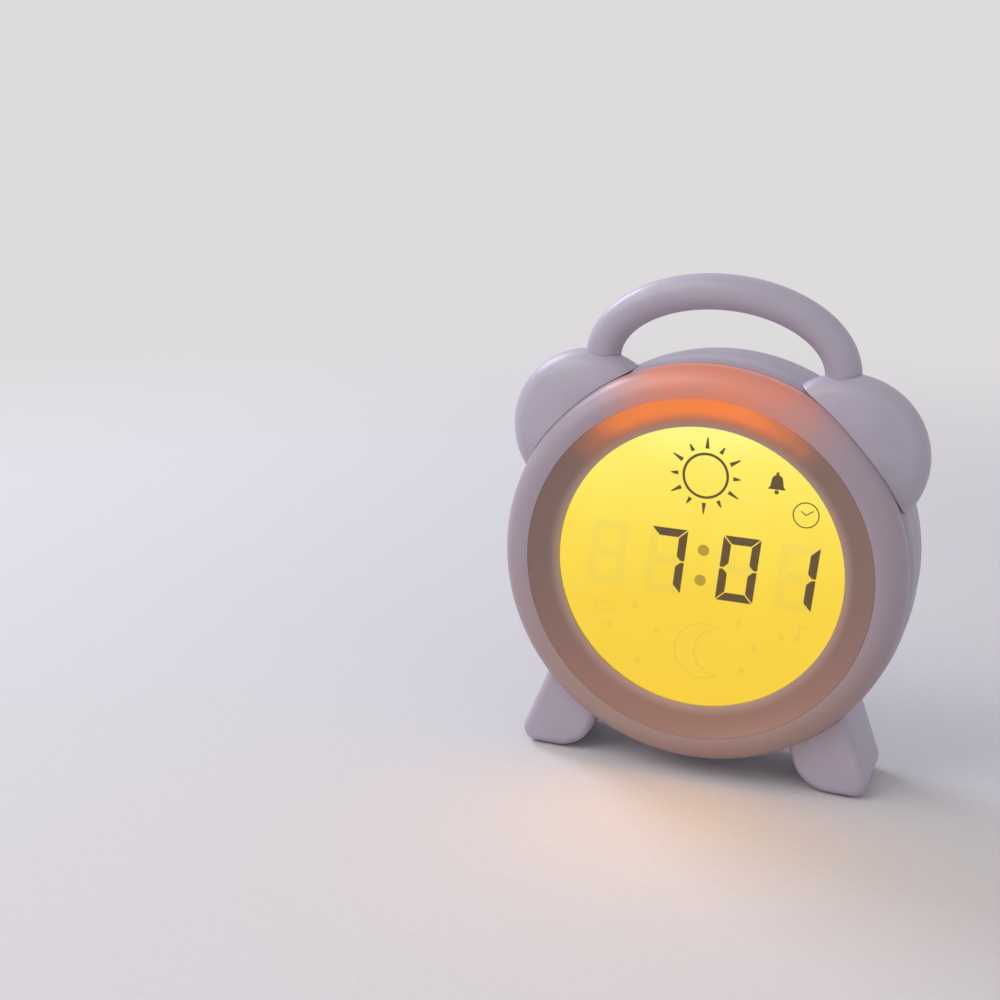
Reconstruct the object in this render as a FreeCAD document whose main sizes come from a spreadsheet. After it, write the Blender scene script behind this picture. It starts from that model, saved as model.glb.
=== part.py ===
import FreeCAD, Part
import Sketcher
import os
import re

from FreeCAD import Vector

# Alarm clock with a round lit display, two bells, a carry handle and two splayed feet.
# Row frame: the origin is on the table below the middle of the clock, +Z up, the display faces -Y.
# Sub-parts are placed in clock coordinates: x to the right, depth behind the display opening, and
# rise above the drum's axis.

# Driving sizes, in millimetres and degrees
SIZES = {
    # drum axis and display opening
    "floor_clearance": 5.8,
    "display_radius": 50,
    # bezel ring
    "bezel_width": 10.4,
    "bezel_sag": 0.5,
    "bezel_rim": 2.4,
    "ledge_width": 2.1,
    "ledge_thick": 1.8,
    "ring_fit": 0.1,
    # rounded lip of the front shell: the circle that its section follows
    "lip_round": 8.65,
    "lip_offset": 1.6,
    "lip_depth": 4.83,
    "shell_depth": 8.8,
    "shell_wall": 2,
    "spigot_step": 0.8,
    "spigot_wall": 1.6,
    # drum
    "drum_gap": 0.3,
    "drum_fit": 0.2,
    "drum_offset": 9.2,
    "drum_edge": 1,
    "drum_swell": 4,
    "drum_taper": 24,
    "drum_wall": 2,
    "drum_rear": 34,
    "seat_depth": 13.6,
    "flange_thick": 2.5,
    "flange_step": 1,
    # rear cover
    "rear_narrowing": 0.8,
    "rear_straight": 2,
    "rear_round": 10,
    "rear_wall": 2.5,
    "cover_lip": 3,
    "cover_lip_wall": 1.5,
    # display stack
    "window_depth": 1.2,
    "window_thick": 1.5,
    "window_overlap": 3,
    "lcd_thick": 2.2,
    "diffuser_thick": 2.5,
    "holder_fit": 0.3,
    "holder_wall": 2.7,
    "shelf_thick": 1.6,
    "shelf_width": 2.8,
    # LED board
    "led_board_overlap": 3.5,
    "board_thick": 1.6,
    "led_side": 3,
    "led_height": 1.2,
    "backlight_inset": 20,
    "night_light_offset": 2.2,
    # screws
    "screw_fit": 0.1,
    "small_shank": 1,
    "small_head": 1.9,
    "small_head_height": 1.2,
    "holder_boss": 1.9,
    "holder_boss_inset": 1.3,
    "holder_screw_length": 5,
    "case_shank": 1.4,
    "case_head": 2.6,
    "case_head_height": 1.8,
    "case_boss": 2.8,
    "shell_screw_offset": 2.5,
    "shell_screw_length": 10,
    "pillar_inset": 8.9,
    "pillar_radius": 3.2,
    "pillar_top": 38,
    "cover_boss": 4.2,
    "cover_screw_seat": 2,
    "cover_screw_length": 12,
    # bells
    "bell_sunk": 9.9,
    "bell_bearing": 43.5,
    "bell_depth": 14,
    "bell_radius": 28,
    "bell_edge": 9,
    "bell_half": 13,
    "bell_wall": 2,
    "seat_gap": 0.15,
    "side_screw_length": 12,
    "side_boss": 3.5,
    "side_screw_depth": 21,
    # handle
    "handle_inset": 3,
    "handle_arch": 25.3,
    "handle_sunk": 2.2,
    "handle_radius": 6.1,
    "handle_depth": 15.5,
    "handle_spigot": 4,
    "handle_socket_wall": 2,
    # feet
    "toe_inset": 5.9,
    "foot_splay": 21,
    "foot_width": 24.8,
    "foot_top": 35,
    "foot_front": 4,
    "foot_length": 32,
    "foot_inner_round": 14,
    "foot_outer_round": 5,
    "foot_edge_round": 3,
    "foot_wall": 2.5,
    "foot_floor": 3.5,
    "foot_bearing": 51.3,
    "foot_screw_pitch": 6.4,
    "sole_proud": 0.5,
    "sole_thick": 1.5,
    "sole_inset": 11.3,
    "sole_width": 7,
    "sole_margin": 5,
    # battery bay
    "cell_radius": 7.25,
    "cell_length": 50.5,
    "nub_radius": 2.75,
    "nub_length": 1.3,
    "cell_pitch": 15,
    "cell_clearance": 0.2,
    "spring_length": 3.6,
    "spring_foot": 4,
    "spring_tip": 2.4,
    "contact_thick": 0.4,
    "contact_side": 10,
    "contact_fit": 0.05,
    "tray_top": -2.5,
    "tray_slack": 0.5,
    "tray_wall": 1.5,
    "tray_gap": 0.3,
    "door_overlap": 1.2,
    "door_gap": 0.3,
    "hinge_drop": 0.2,
    "hinge_pin": 0.8,
    "hinge_pin_length": 2.3,
    "hinge_fit": 0.06,
    # main board
    "main_board_room": 10.5,
    "main_board_side_room": 20.7,
    "main_board_right": 13,
    "main_board_low": 4,
    "main_board_high": 44,
    "post_radius": 2.6,
    "post_inset": 4.5,
    "board_screw_length": 6,
    "chip_side": 14,
    "chip_height": 1.8,
    # push buttons and their switches
    "button_left": -30,
    "button_high": 32,
    "button_pitch": 16,
    "button_row": 17,
    "button_radius": 4.5,
    "button_fit": 0.2,
    "button_proud": 1.5,
    "button_round": 0.6,
    "button_flange": 5.5,
    "button_flange_thick": 1.4,
    "button_stem": 2,
    "button_travel": 0.8,
    "key_side": 6,
    "key_height": 3.5,
    "plunger_radius": 1.7,
    "plunger_proud": 0.9,
    "plunger_sunk": 1.1,
    # slide switch
    "switch_length": 10,
    "switch_width": 5,
    "switch_height": 4.4,
    "knob_length": 5,
    "knob_width": 3.4,
    "knob_proud": 1.2,
    "knob_travel": 2,
    "knob_fit": 0.25,
    "knob_flange": 1.2,
    "lever_thick": 1.6,
    "lever_sunk": 1.6,
    # speaker
    "speaker_x": 32,
    "speaker_rise": 26,
    "speaker_radius": 14,
    "speaker_flange": 1.2,
    "speaker_can": 12,
    "speaker_depth": 6.5,
    "speaker_wall": 1,
    "magnet_radius": 7,
    "magnet_height": 3.2,
    "cone_thick": 0.5,
    "cone_gap": 0.4,
    "collar_wall": 1.5,
    "collar_height": 4,
    "grille_hole": 1.2,
    "grille_pitch": 4.2,
    # wiring inside
    "ribbon_width": 15,
    "ribbon_thick": 0.6,
    "ribbon_x": -2,
    "ribbon_rise": 22,
    "socket_height": 2.5,
    "socket_thick": 3,
    "wire_radius": 0.7,
    "wire_pitch": 3,
    "wire_bend": 2.4,
    "battery_wire_x": -34,
    "battery_wire_depth": 30,
    "battery_wire_rise": 8,
    "speaker_wire_x": 9,
}

# Places worked out from the sizes
PLACES = {
    "bezel_radius": "display_radius + bezel_width",
    "lip_circle": "bezel_radius + lip_offset",
    "drum_radius": "lip_circle + drum_offset",
    "rear_radius": "drum_radius - rear_narrowing",
    "axis_height": "drum_radius + floor_clearance",
    "display_y": "(lip_round - lip_depth - rear_face - button_proud) / 2",
    "rear_face": "drum_rear + rear_straight + rear_round",
    "rear_inner": "rear_face - rear_wall",
    "lip_inner_round": "lip_round - shell_wall",
    "shell_edge_radius": "lip_circle + sqrt(lip_round ^ 2 - (shell_depth - lip_depth) ^ 2)",
    "lip_hole": "bezel_radius + ring_fit",
    "lip_hole_depth": "lip_depth - sqrt(lip_round ^ 2 - (lip_circle - lip_hole) ^ 2)",
    "ledge_depth": "lip_hole_depth + bezel_rim",
    "ledge_radius": "lip_hole - ledge_width",
    "spigot_radius": "shell_edge_radius - spigot_step",
    "spigot_inner": "spigot_radius - spigot_wall",
    "drum_front": "shell_depth + drum_gap",
    "drum_inner": "spigot_radius + drum_fit",
    "drum_rear_inner": "rear_radius - drum_wall",
    "flange_rear": "seat_depth + flange_thick",
    "flange_radius": "holder_outer + flange_step",
    "shell_screw_circle": "lip_circle + shell_screw_offset",
    "pillar_circle": "rear_radius - pillar_inset",
    "cover_lip_radius": "drum_rear_inner - drum_fit",
    "cover_lip_inner": "cover_lip_radius - cover_lip_wall",
    "rear_inner_round": "rear_round - rear_wall",
    "rear_flat": "rear_radius - rear_round",
    "rear_round_depth": "drum_rear + rear_straight",
    "window_radius": "display_radius + window_overlap",
    "lcd_depth": "window_depth + window_thick",
    "diffuser_depth": "lcd_depth + lcd_thick",
    "shelf_depth": "diffuser_depth + diffuser_thick",
    "holder_inner": "window_radius + holder_fit",
    "holder_outer": "holder_inner + holder_wall",
    "holder_boss_circle": "holder_inner - holder_boss_inset",
    "led_board_radius": "flange_radius + led_board_overlap",
    "led_board_depth": "seat_depth - board_thick",
    "backlight_circle": "display_radius - backlight_inset",
    "night_light_circle": "holder_outer + night_light_offset",
    "cover_seat": "pillar_top + cover_screw_seat",
    "bell_reach": "drum_radius - bell_sunk",
    "bell_x": "bell_reach * cos(bell_bearing)",
    "bell_rise": "bell_reach * sin(bell_bearing)",
    "side_head_end": "drum_rear_inner - screw_fit",
    "handle_half": "bell_x - handle_inset",
    "handle_base": "bell_rise + bell_radius - handle_sunk",
    "handle_foot": "sqrt((drum_radius + seat_gap) ^ 2 - (handle_half - handle_spigot) ^ 2) + drum_gap",
    "foot_toe": "drum_radius - toe_inset",
    "tray_half": "(cell_length + spring_length + 2 * contact_thick + 2 * contact_fit) / 2",
    "tray_bottom": "tray_top - 3 * cell_pitch - 2 * tray_slack",
    "tray_rim": "rear_inner - tray_gap",
    "tray_floor": "tray_rim - 2 * cell_clearance - 2 * cell_radius",
    "cell_depth": "tray_rim - cell_clearance - cell_radius",
    "door_half": "tray_half + door_overlap",
    "door_top": "tray_top + door_overlap",
    "hinge_rise": "tray_bottom - hinge_drop",
    "hinge_depth": "rear_face - rear_wall / 2",
    "main_board_left": "main_board_side_room - cover_lip_inner",
    "main_board_depth": "rear_inner - main_board_room",
    "main_board_rear": "main_board_depth + board_thick",
    "key_top": "main_board_rear + key_height",
    "plunger_top": "key_top + plunger_proud",
    "button_neck": "rear_inner - button_fit",
    "button_top": "rear_face + button_proud",
    "switch_top": "main_board_rear + switch_height",
    "switch_x": "button_left + 2 * button_pitch",
    "switch_rise": "button_high - button_row",
    "speaker_back": "rear_inner - speaker_depth",
    "speaker_wire_depth": "rear_inner - collar_height - wire_radius - screw_fit",
}

# Bearings of the screws and LEDs round the drum's axis, in degrees from the right
CORNER_BEARINGS = (45, 135, 225, 315)
SIDE_BEARINGS = (0, 90, 180, 270)
BACKLIGHT_BEARINGS = (0, 60, 120, 180, 240, 300)
NIGHT_LIGHT_BEARINGS = (22.5, 67.5, 112.5, 157.5, 202.5, 247.5, 292.5, 337.5)

# How near an edge lies to the place that picks it for a round
NEAR = 0.05

doc = FreeCAD.newDocument("kids_alarm_clock")
sheet = doc.addObject("Spreadsheet::Sheet", "dims")
for line, (alias, number) in enumerate(SIZES.items(), 1):
    sheet.set(f"A{line}", alias)
    sheet.set(f"B{line}", str(number))
    sheet.setAlias(f"B{line}", alias)
doc.recompute()

nodes = []


# Expressions


def full(text):
    """Write out a size rule: places become their own rules and sizes become sheet cells."""
    def spell(match):
        word = match.group()
        if word in PLACES:
            return "(" + full(PLACES[word]) + ")"
        if word in SIZES:
            return "dims." + word
        return word
    return re.sub(r"[A-Za-z_]\w*", spell, str(text))


def value(text):
    """Work a size rule out as a plain number."""
    found = sheet.evalExpression(full(text))
    return float(getattr(found, "Value", found))


def bind(item, **rules):
    for name, text in rules.items():
        item.setExpression(name, full(text))


def place(item, x="0", depth="0", rise="0"):
    """Put an object at a point given in clock coordinates."""
    item.setExpression("Placement.Base.x", full(x))
    item.setExpression("Placement.Base.y", full(f"display_y + ({depth})"))
    item.setExpression("Placement.Base.z", full(f"axis_height + ({rise})"))


def keep(item):
    """Keep an object as a sub-part of the clock."""
    nodes.append(item)
    return item


# Simple solids in clock coordinates


def box(label, x, depth, rise, wide, deep, tall):
    item = doc.addObject("Part::Box", label)
    bind(item, Length=wide, Width=deep, Height=tall)
    place(item, x, depth, rise)
    return item


def centred_box(label, x, depth, rise, wide, deep, tall):
    """Box whose middle lies at x and rise, and whose front lies at depth."""
    return box(label, f"({x}) - ({wide}) / 2", depth, f"({rise}) - ({tall}) / 2", wide, deep, tall)


def rod(label, radius, length, x="0", depth="0", rise="0"):
    """Cylinder that runs backwards from a point."""
    item = doc.addObject("Part::Cylinder", label)
    bind(item, Radius=radius, Height=length)
    item.Placement.Rotation = FreeCAD.Rotation(Vector(1, 0, 0), -90)
    place(item, x, depth, rise)
    return item


def slanted_rod(label, radius, length, x, depth, rise, bearing):
    """Cylinder that runs from a point square to the axis, at a bearing from the right."""
    item = doc.addObject("Part::Cylinder", label)
    bind(item, Radius=radius, Height=length)
    item.Placement.Rotation = FreeCAD.Rotation(Vector(0, 1, 0), 90)
    item.setExpression("Placement.Rotation.Angle", full(f"90 - ({bearing})"))
    place(item, x, depth, rise)
    return item


def radial_rod(label, radius, length, reach, depth, bearing):
    """Cylinder that points away from the drum's axis."""
    x = f"({reach}) * cos({bearing})"
    rise = f"({reach}) * sin({bearing})"
    return slanted_rod(label, radius, length, x, depth, rise, bearing)


def fused(label, parts):
    item = doc.addObject("Part::MultiFuse", label)
    item.Shapes = parts
    return item


def group(label, parts):
    """One node of separate equal solids."""
    item = doc.addObject("Part::Compound", label)
    item.Links = parts
    return item


def cut(label, base, tools):
    item = doc.addObject("Part::Cut", label)
    item.Base = base
    item.Tool = tools[0] if len(tools) == 1 else fused(label + "_space", tools)
    return item


def common(label, first, second):
    item = doc.addObject("Part::Common", label)
    item.Base = first
    item.Tool = second
    return item


def mirrored(label, source):
    """The left-hand copy of a right-hand piece."""
    item = doc.addObject("Part::Mirroring", label)
    item.Source = source
    item.Base = Vector(0, 0, 0)
    item.Normal = Vector(1, 0, 0)
    return item


# Sketched bodies


def outline(body, plane, corners):
    """Closed sketch through corners (across, along); two more rules make an arc by that point."""
    sketch = body.newObject("Sketcher::SketchObject", body.Label + "_outline")
    origin_plane = next(f for f in body.Origin.OriginFeatures if f.Role == plane)
    sketch.AttachmentSupport = [(origin_plane, "")]
    sketch.MapMode = "FlatFace"
    points = [Vector(value(c[0]), value(c[1]), 0) for c in corners]
    ends = []
    for index, corner in enumerate(corners):
        start = points[index - 1]
        if len(corner) == 2:
            sketch.addGeometry(Part.LineSegment(start, points[index]))
            ends.append((1, 2))
        else:
            via = Vector(value(corner[2]), value(corner[3]), 0)
            sketch.addGeometry(Part.Arc(start, via, points[index]))
            forward = sketch.getPoint(index, 1).distanceToPoint(start) < 1e-6
            ends.append((1, 2) if forward else (2, 1))

    def fix(geometry, end, rules):
        for kind, rule in zip(("DistanceX", "DistanceY"), rules):
            limit = Sketcher.Constraint(kind, geometry, end, value(rule))
            sketch.setExpression(f"Constraints[{sketch.addConstraint(limit)}]", full(rule))

    count = len(corners)
    for index, corner in enumerate(corners):
        following = (index + 1) % count
        joint = (index, ends[index][1], following, ends[following][0])
        sketch.addConstraint(Sketcher.Constraint("Coincident", *joint))
        fix(index, ends[index][1], corner[:2])
        if len(corner) == 4:
            via = Vector(value(corner[2]), value(corner[3]), 0)
            mark = sketch.addGeometry(Part.Point(via), True)
            sketch.addConstraint(Sketcher.Constraint("PointOnObject", mark, 1, index))
            fix(mark, 1, corner[2:])
    return sketch


def turned(label, corners, x="0", depth="0", rise="0"):
    """Body of revolution about an axis along Y; corners are (radius, depth)."""
    body = doc.addObject("PartDesign::Body", label)
    sketch = outline(body, "XY_Plane", corners)
    turn = body.newObject("PartDesign::Revolution", label + "_turn")
    turn.Profile = sketch
    turn.ReferenceAxis = (sketch, ["V_Axis"])
    turn.Angle = 360
    place(body, x, depth, rise)
    return body


def padded(label, corners, length, x="0", depth="0", rise="0"):
    """Body padded backwards from an outline of (x, rise) corners."""
    body = doc.addObject("PartDesign::Body", label)
    sketch = outline(body, "XZ_Plane", corners)
    pad = body.newObject("PartDesign::Pad", label + "_pad")
    pad.Profile = sketch
    pad.Reversed = True
    bind(pad, Length=length)
    place(body, x, depth, rise)
    doc.recompute()
    return body


def rounded(body, name, radius, wanted):
    """Fillet every edge of the body's last feature that the test picks."""
    doc.recompute()
    base = body.Tip
    edges = [f"Edge{i}" for i, edge in enumerate(base.Shape.Edges, 1) if wanted(edge)]
    fillet = body.newObject("PartDesign::Fillet", name)
    fillet.Base = (base, edges)
    bind(fillet, Radius=radius)
    body.Tip = fillet
    return fillet


def is_near(first, second):
    return abs(first - second) < NEAR


def is_along_depth(edge):
    return is_near(edge.BoundBox.XLength, 0) and is_near(edge.BoundBox.ZLength, 0)


# Bezel ring: the hollow cone between the display opening and the lip
bezel_ring = keep(turned("bezel_ring", [
    ("display_radius", "window_depth"),
    ("display_radius", "0"),
    ("bezel_radius", "lip_hole_depth", "(display_radius + bezel_radius) / 2",
     "lip_hole_depth / 2 + bezel_sag"),
    ("bezel_radius", "ledge_depth"),
    ("ledge_radius - ring_fit", "ledge_depth"),
    ("ledge_radius - ring_fit", "window_depth"),
]))

# Front shell: the translucent rounded lip, with the spigot that stands in the drum
shell_skin = turned("front_shell_skin", [
    ("lip_hole", "lip_hole_depth"),
    ("shell_edge_radius", "shell_depth", "lip_circle + lip_round * cos(45)",
     "lip_depth - lip_round * sin(45)"),
    ("spigot_radius", "shell_depth"),
    ("spigot_radius", "seat_depth"),
    ("spigot_inner", "seat_depth"),
    ("spigot_inner", "lip_depth - sqrt(lip_inner_round ^ 2 - (spigot_inner - lip_circle) ^ 2)"),
    ("lip_circle", "lip_depth - lip_inner_round", "lip_circle + lip_inner_round * cos(65)",
     "lip_depth - lip_inner_round * sin(65)"),
    ("lip_circle", "ledge_depth + ledge_thick"),
    ("ledge_radius", "ledge_depth + ledge_thick"),
    ("ledge_radius", "ledge_depth"),
    ("lip_hole", "ledge_depth"),
])


def ring_points(circle, bearings):
    """Points on a circle about the drum's axis, as rules for x and rise."""
    return [(f"{circle} * cos({b})", f"{circle} * sin({b})") for b in bearings]


boss_front = "lip_depth - lip_round + shell_wall + screw_fit"
shell_spots = ring_points("shell_screw_circle", CORNER_BEARINGS)
shell_bosses = [
    rod(f"shell_boss_{i}", "case_boss", f"seat_depth - ({boss_front})", x, boss_front, rise)
    for i, (x, rise) in enumerate(shell_spots)
]
shell_pilots = [
    rod(f"shell_pilot_{i}", "case_shank + screw_fit", "shell_screw_length", x,
        "flange_rear - shell_screw_length - screw_fit", rise)
    for i, (x, rise) in enumerate(shell_spots)
]
shell_bossed = fused("shell_bossed", [shell_skin] + shell_bosses)
front_shell = keep(cut("front_shell", shell_bossed, shell_pilots))


def screw(label, shank, length, head, head_height, x, seat, rise, forward=True):
    """Screw with its head's underside at the seat depth and its shank pointing to the front."""
    if forward:
        body = rod(label + "_shank", shank, length, x, f"({seat}) - ({length})", rise)
        top = rod(label + "_head", head, head_height, x, seat, rise)
    else:
        body = rod(label + "_shank", shank, length, x, seat, rise)
        top = rod(label + "_head", head, head_height, x, f"({seat}) - ({head_height})", rise)
    return fused(label, [body, top])


front_shell_screws = keep(group("front_shell_screws", [
    screw(f"shell_screw_{i}", "case_shank", "shell_screw_length", "case_head", "case_head_height",
          x, "flange_rear", rise)
    for i, (x, rise) in enumerate(shell_spots)
]))

# Display stack, from the front: window, LCD, diffuser, with the holder round it
display_window = keep(rod("display_window", "window_radius", "window_thick", depth="window_depth"))
lcd_panel = keep(rod("lcd_panel", "window_radius", "lcd_thick", depth="lcd_depth"))
diffuser_plate = keep(rod("diffuser_plate", "window_radius", "diffuser_thick", depth="diffuser_depth"))
holder_ring = turned("holder_ring", [
    ("holder_inner", "window_depth"),
    ("holder_outer", "window_depth"),
    ("holder_outer", "led_board_depth"),
    ("holder_inner", "led_board_depth"),
    ("holder_inner", "shelf_depth + shelf_thick"),
    ("holder_inner - shelf_width", "shelf_depth + shelf_thick"),
    ("holder_inner - shelf_width", "shelf_depth"),
    ("holder_inner", "shelf_depth"),
])
holder_spots = ring_points("holder_boss_circle", SIDE_BEARINGS)
holder_bosses = [
    rod(f"holder_boss_{i}", "holder_boss", "led_board_depth - shelf_depth", x, "shelf_depth", rise)
    for i, (x, rise) in enumerate(holder_spots)
]
holder_pilots = [
    rod(f"holder_pilot_{i}", "small_shank + screw_fit", "holder_screw_length", x,
        "seat_depth - holder_screw_length - screw_fit", rise)
    for i, (x, rise) in enumerate(holder_spots)
]
display_holder = keep(cut("display_holder", fused("holder_bossed", [holder_ring] + holder_bosses),
                          holder_pilots))

# LED board with the backlight LEDs behind the diffuser and the night light LEDs behind the bezel
led_board_disc = rod("led_board_disc", "led_board_radius", "board_thick", depth="led_board_depth")
led_board_holes = [
    rod(f"led_board_hole_{i}", "small_shank + screw_fit", "board_thick", x, "led_board_depth", rise)
    for i, (x, rise) in enumerate(holder_spots)
]
led_board = keep(cut("led_board", led_board_disc, led_board_holes))
led_board_screws = keep(group("led_board_screws", [
    screw(f"led_board_screw_{i}", "small_shank", "holder_screw_length", "small_head",
          "small_head_height", x, "seat_depth", rise)
    for i, (x, rise) in enumerate(holder_spots)
]))


def leds(label, circle, bearings):
    return group(label, [
        centred_box(f"{label}_{i}", x, "led_board_depth - led_height", rise, "led_side",
                    "led_height", "led_side")
        for i, (x, rise) in enumerate(ring_points(circle, bearings))
    ])


backlight_leds = keep(leds("backlight_leds", "backlight_circle", BACKLIGHT_BEARINGS))
night_light_leds = keep(leds("night_light_leds", "night_light_circle", NIGHT_LIGHT_BEARINGS))

# Drum: the barrel of the case, with the flange that the front shell and the LED board seat on
drum_barrel = turned("drum_barrel", [
    ("drum_inner", "drum_front"),
    ("drum_radius - drum_edge", "drum_front"),
    ("drum_radius", "drum_front + drum_swell", "drum_radius - drum_edge * (1 - sin(50))",
     "drum_front + drum_swell * (1 - cos(50))"),
    ("drum_radius", "drum_taper"),
    ("rear_radius", "drum_rear"),
    ("drum_rear_inner", "drum_rear"),
    ("drum_inner", "flange_rear"),
    ("flange_radius", "flange_rear"),
    ("flange_radius", "seat_depth"),
    ("drum_inner", "seat_depth"),
])
pillar_spots = ring_points("pillar_circle", SIDE_BEARINGS)
pillars = [
    rod(f"pillar_{i}", "pillar_radius", "pillar_top - seat_depth", x, "seat_depth", rise)
    for i, (x, rise) in enumerate(pillar_spots)
]
drum_holes = [
    rod(f"flange_hole_{i}", "case_shank + screw_fit", "flange_thick", x, "seat_depth", rise)
    for i, (x, rise) in enumerate(shell_spots)
]
drum_holes += [
    rod(f"pillar_hole_{i}", "case_shank + screw_fit", "cover_screw_length", x,
        "cover_seat - cover_screw_length - screw_fit", rise)
    for i, (x, rise) in enumerate(pillar_spots)
]
bell_bearings = ("bell_bearing", "180 - bell_bearing")
foot_bearings = ("-foot_bearing", "foot_bearing - 180")
bell_spots = [(bearing, "side_screw_depth") for bearing in bell_bearings]
foot_spots = [
    (bearing, depth)
    for bearing in foot_bearings
    for depth in ("side_screw_depth", "side_screw_depth + foot_screw_pitch")
]
side_spots = bell_spots + foot_spots
drum_holes += [
    radial_rod(f"side_hole_{i}", "case_shank + screw_fit",
               "drum_radius + seat_gap - side_head_end", "side_head_end", depth, bearing)
    for i, (bearing, depth) in enumerate(side_spots)
]
housing_drum = keep(cut("housing_drum", fused("drum_bossed", [drum_barrel] + pillars), drum_holes))


def side_screw(label, bearing, depth):
    """Screw that holds a bell or a foot, driven outwards from inside the drum."""
    shank = radial_rod(label + "_shank", "case_shank", "side_screw_length", "side_head_end", depth,
                       bearing)
    head = radial_rod(label + "_head", "case_head", "case_head_height",
                      "side_head_end - case_head_height", depth, bearing)
    return fused(label, [shank, head])


bell_screws = keep(group("bell_screws", [
    side_screw(f"bell_screw_{i}", bearing, depth) for i, (bearing, depth) in enumerate(bell_spots)
]))
foot_screws = keep(group("foot_screws", [
    side_screw(f"foot_screw_{i}", bearing, depth) for i, (bearing, depth) in enumerate(foot_spots)
]))

# Room that the case takes from the bells and the feet
case_room = turned("case_room", [
    ("0", "lip_depth - lip_round - seat_gap"),
    ("lip_circle", "lip_depth - lip_round - seat_gap"),
    ("lip_circle + lip_round + seat_gap", "lip_depth",
     "lip_circle + (lip_round + seat_gap) * cos(45)", "lip_depth - (lip_round + seat_gap) * sin(45)"),
    ("drum_radius + seat_gap", "drum_front + drum_swell"),
    ("drum_radius + seat_gap", "drum_taper"),
    ("rear_radius + seat_gap", "drum_rear"),
    ("rear_radius + seat_gap", "rear_face"),
    ("0", "rear_face"),
])


# Bells: hollow domed discs that stand on the drum's shoulders


def bell_form(label, grow):
    """Domed disc whose rim is round; grow moves its whole surface outwards."""
    radius = f"(bell_radius + {grow})"
    edge = f"(bell_edge + {grow})"
    half = f"(bell_half + {grow})"
    ring = "(bell_radius - bell_edge)"
    dome = f"(({ring} ^ 2 + {half} ^ 2 - {edge} ^ 2) / (2 * ({half} - {edge})))"
    reach = f"({dome} * {ring} / ({dome} - {edge}))"
    rim = f"({dome} - {half} - {dome} * ({dome} - {half}) / ({dome} - {edge}))"
    lean = f"asin({ring} / ({dome} - {edge}))"
    mid_reach = f"({dome} * sin({lean} / 2))"
    mid_rim = f"({dome} - {half} - {dome} * cos({lean} / 2))"
    return turned(label, [
        ("0", f"0 - {half}"),
        (reach, rim, mid_reach, mid_rim),
        (reach, f"0 - {rim}", radius, "0"),
        ("0", half, mid_reach, f"0 - {mid_rim}"),
    ], "bell_x", "bell_depth", "bell_rise")


bell_outer = bell_form("bell_outer", "0")
bell_hollow = bell_form("bell_hollow", "0 - bell_wall")
bell_clear = bell_form("bell_clear", "screw_fit")
bell_boss = radial_rod("bell_boss", "side_boss", "side_screw_length + side_boss", "drum_rear_inner",
                       "side_screw_depth", "bell_bearing")
bell_socket = slanted_rod("bell_socket", "handle_spigot + handle_socket_wall", "bell_radius",
                          "handle_half", "handle_depth", "handle_foot - drum_gap", "90")
bell_inside = fused("bell_inside", [bell_boss, bell_socket])
bell_shell = cut("bell_shell", bell_outer, [bell_hollow])
bell_solid = fused("bell_solid", [bell_shell, common("bell_fittings", bell_inside, bell_outer)])
right_bell = keep(cut("right_bell", bell_solid, [
    case_room,
    radial_rod("bell_pilot", "case_shank + screw_fit", "side_screw_length + screw_fit",
               "side_head_end", "side_screw_depth", "bell_bearing"),
    slanted_rod("bell_bore", "handle_spigot + screw_fit", "bell_radius", "handle_half",
                "handle_depth", "handle_foot - drum_gap", "90"),
]))
left_bell = keep(mirrored("left_bell", right_bell))

# Handle: a round bar bent to half an ellipse, with spigots that stand in the bells
handle_path = doc.addObject("Part::Ellipse", "handle_path")
bind(handle_path, MajorRadius="handle_half", MinorRadius="handle_arch")
handle_path.Angle1 = 0
handle_path.Angle2 = 180
handle_path.Placement.Rotation = FreeCAD.Rotation(Vector(1, 0, 0), 90)
place(handle_path, "0", "handle_depth", "handle_base")
handle_section = doc.addObject("Part::Circle", "handle_section")
bind(handle_section, Radius="handle_radius")
place(handle_section, "handle_half", "handle_depth", "handle_base")
doc.recompute()
handle_bow = doc.addObject("Part::Sweep", "handle_bow")
handle_bow.Sections = [handle_section]
handle_bow.Spine = (handle_path, ["Edge1"])
handle_bow.Solid = True
handle_bow.Frenet = False
legs = [
    slanted_rod(f"handle_leg_{side}", "handle_radius", "handle_radius + bell_half - bell_edge", x,
                "handle_depth", "handle_base - handle_radius - bell_half + bell_edge", "90")
    for side, x in (("right", "handle_half"), ("left", "0 - handle_half"))
]
spigots = [
    slanted_rod(f"handle_spigot_{side}", "handle_spigot", "handle_base + handle_radius - handle_foot", x,
                "handle_depth", "handle_foot", "90")
    for side, x in (("right", "handle_half"), ("left", "0 - handle_half"))
]
handle_bar = cut("handle_bar", fused("handle_bent", [handle_bow] + legs),
                 [bell_clear, mirrored("bell_clear_left", bell_clear)])
carry_handle = keep(fused("carry_handle", [handle_bar] + spigots))


# Feet: splayed hollow tongues with a rubber sole let into each


def foot_x(edge, rise):
    """Where a foot's slanted side lies at a height, for the ground point of that side."""
    return f"{edge} - ({rise} + axis_height) * tan(foot_splay)"


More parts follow.
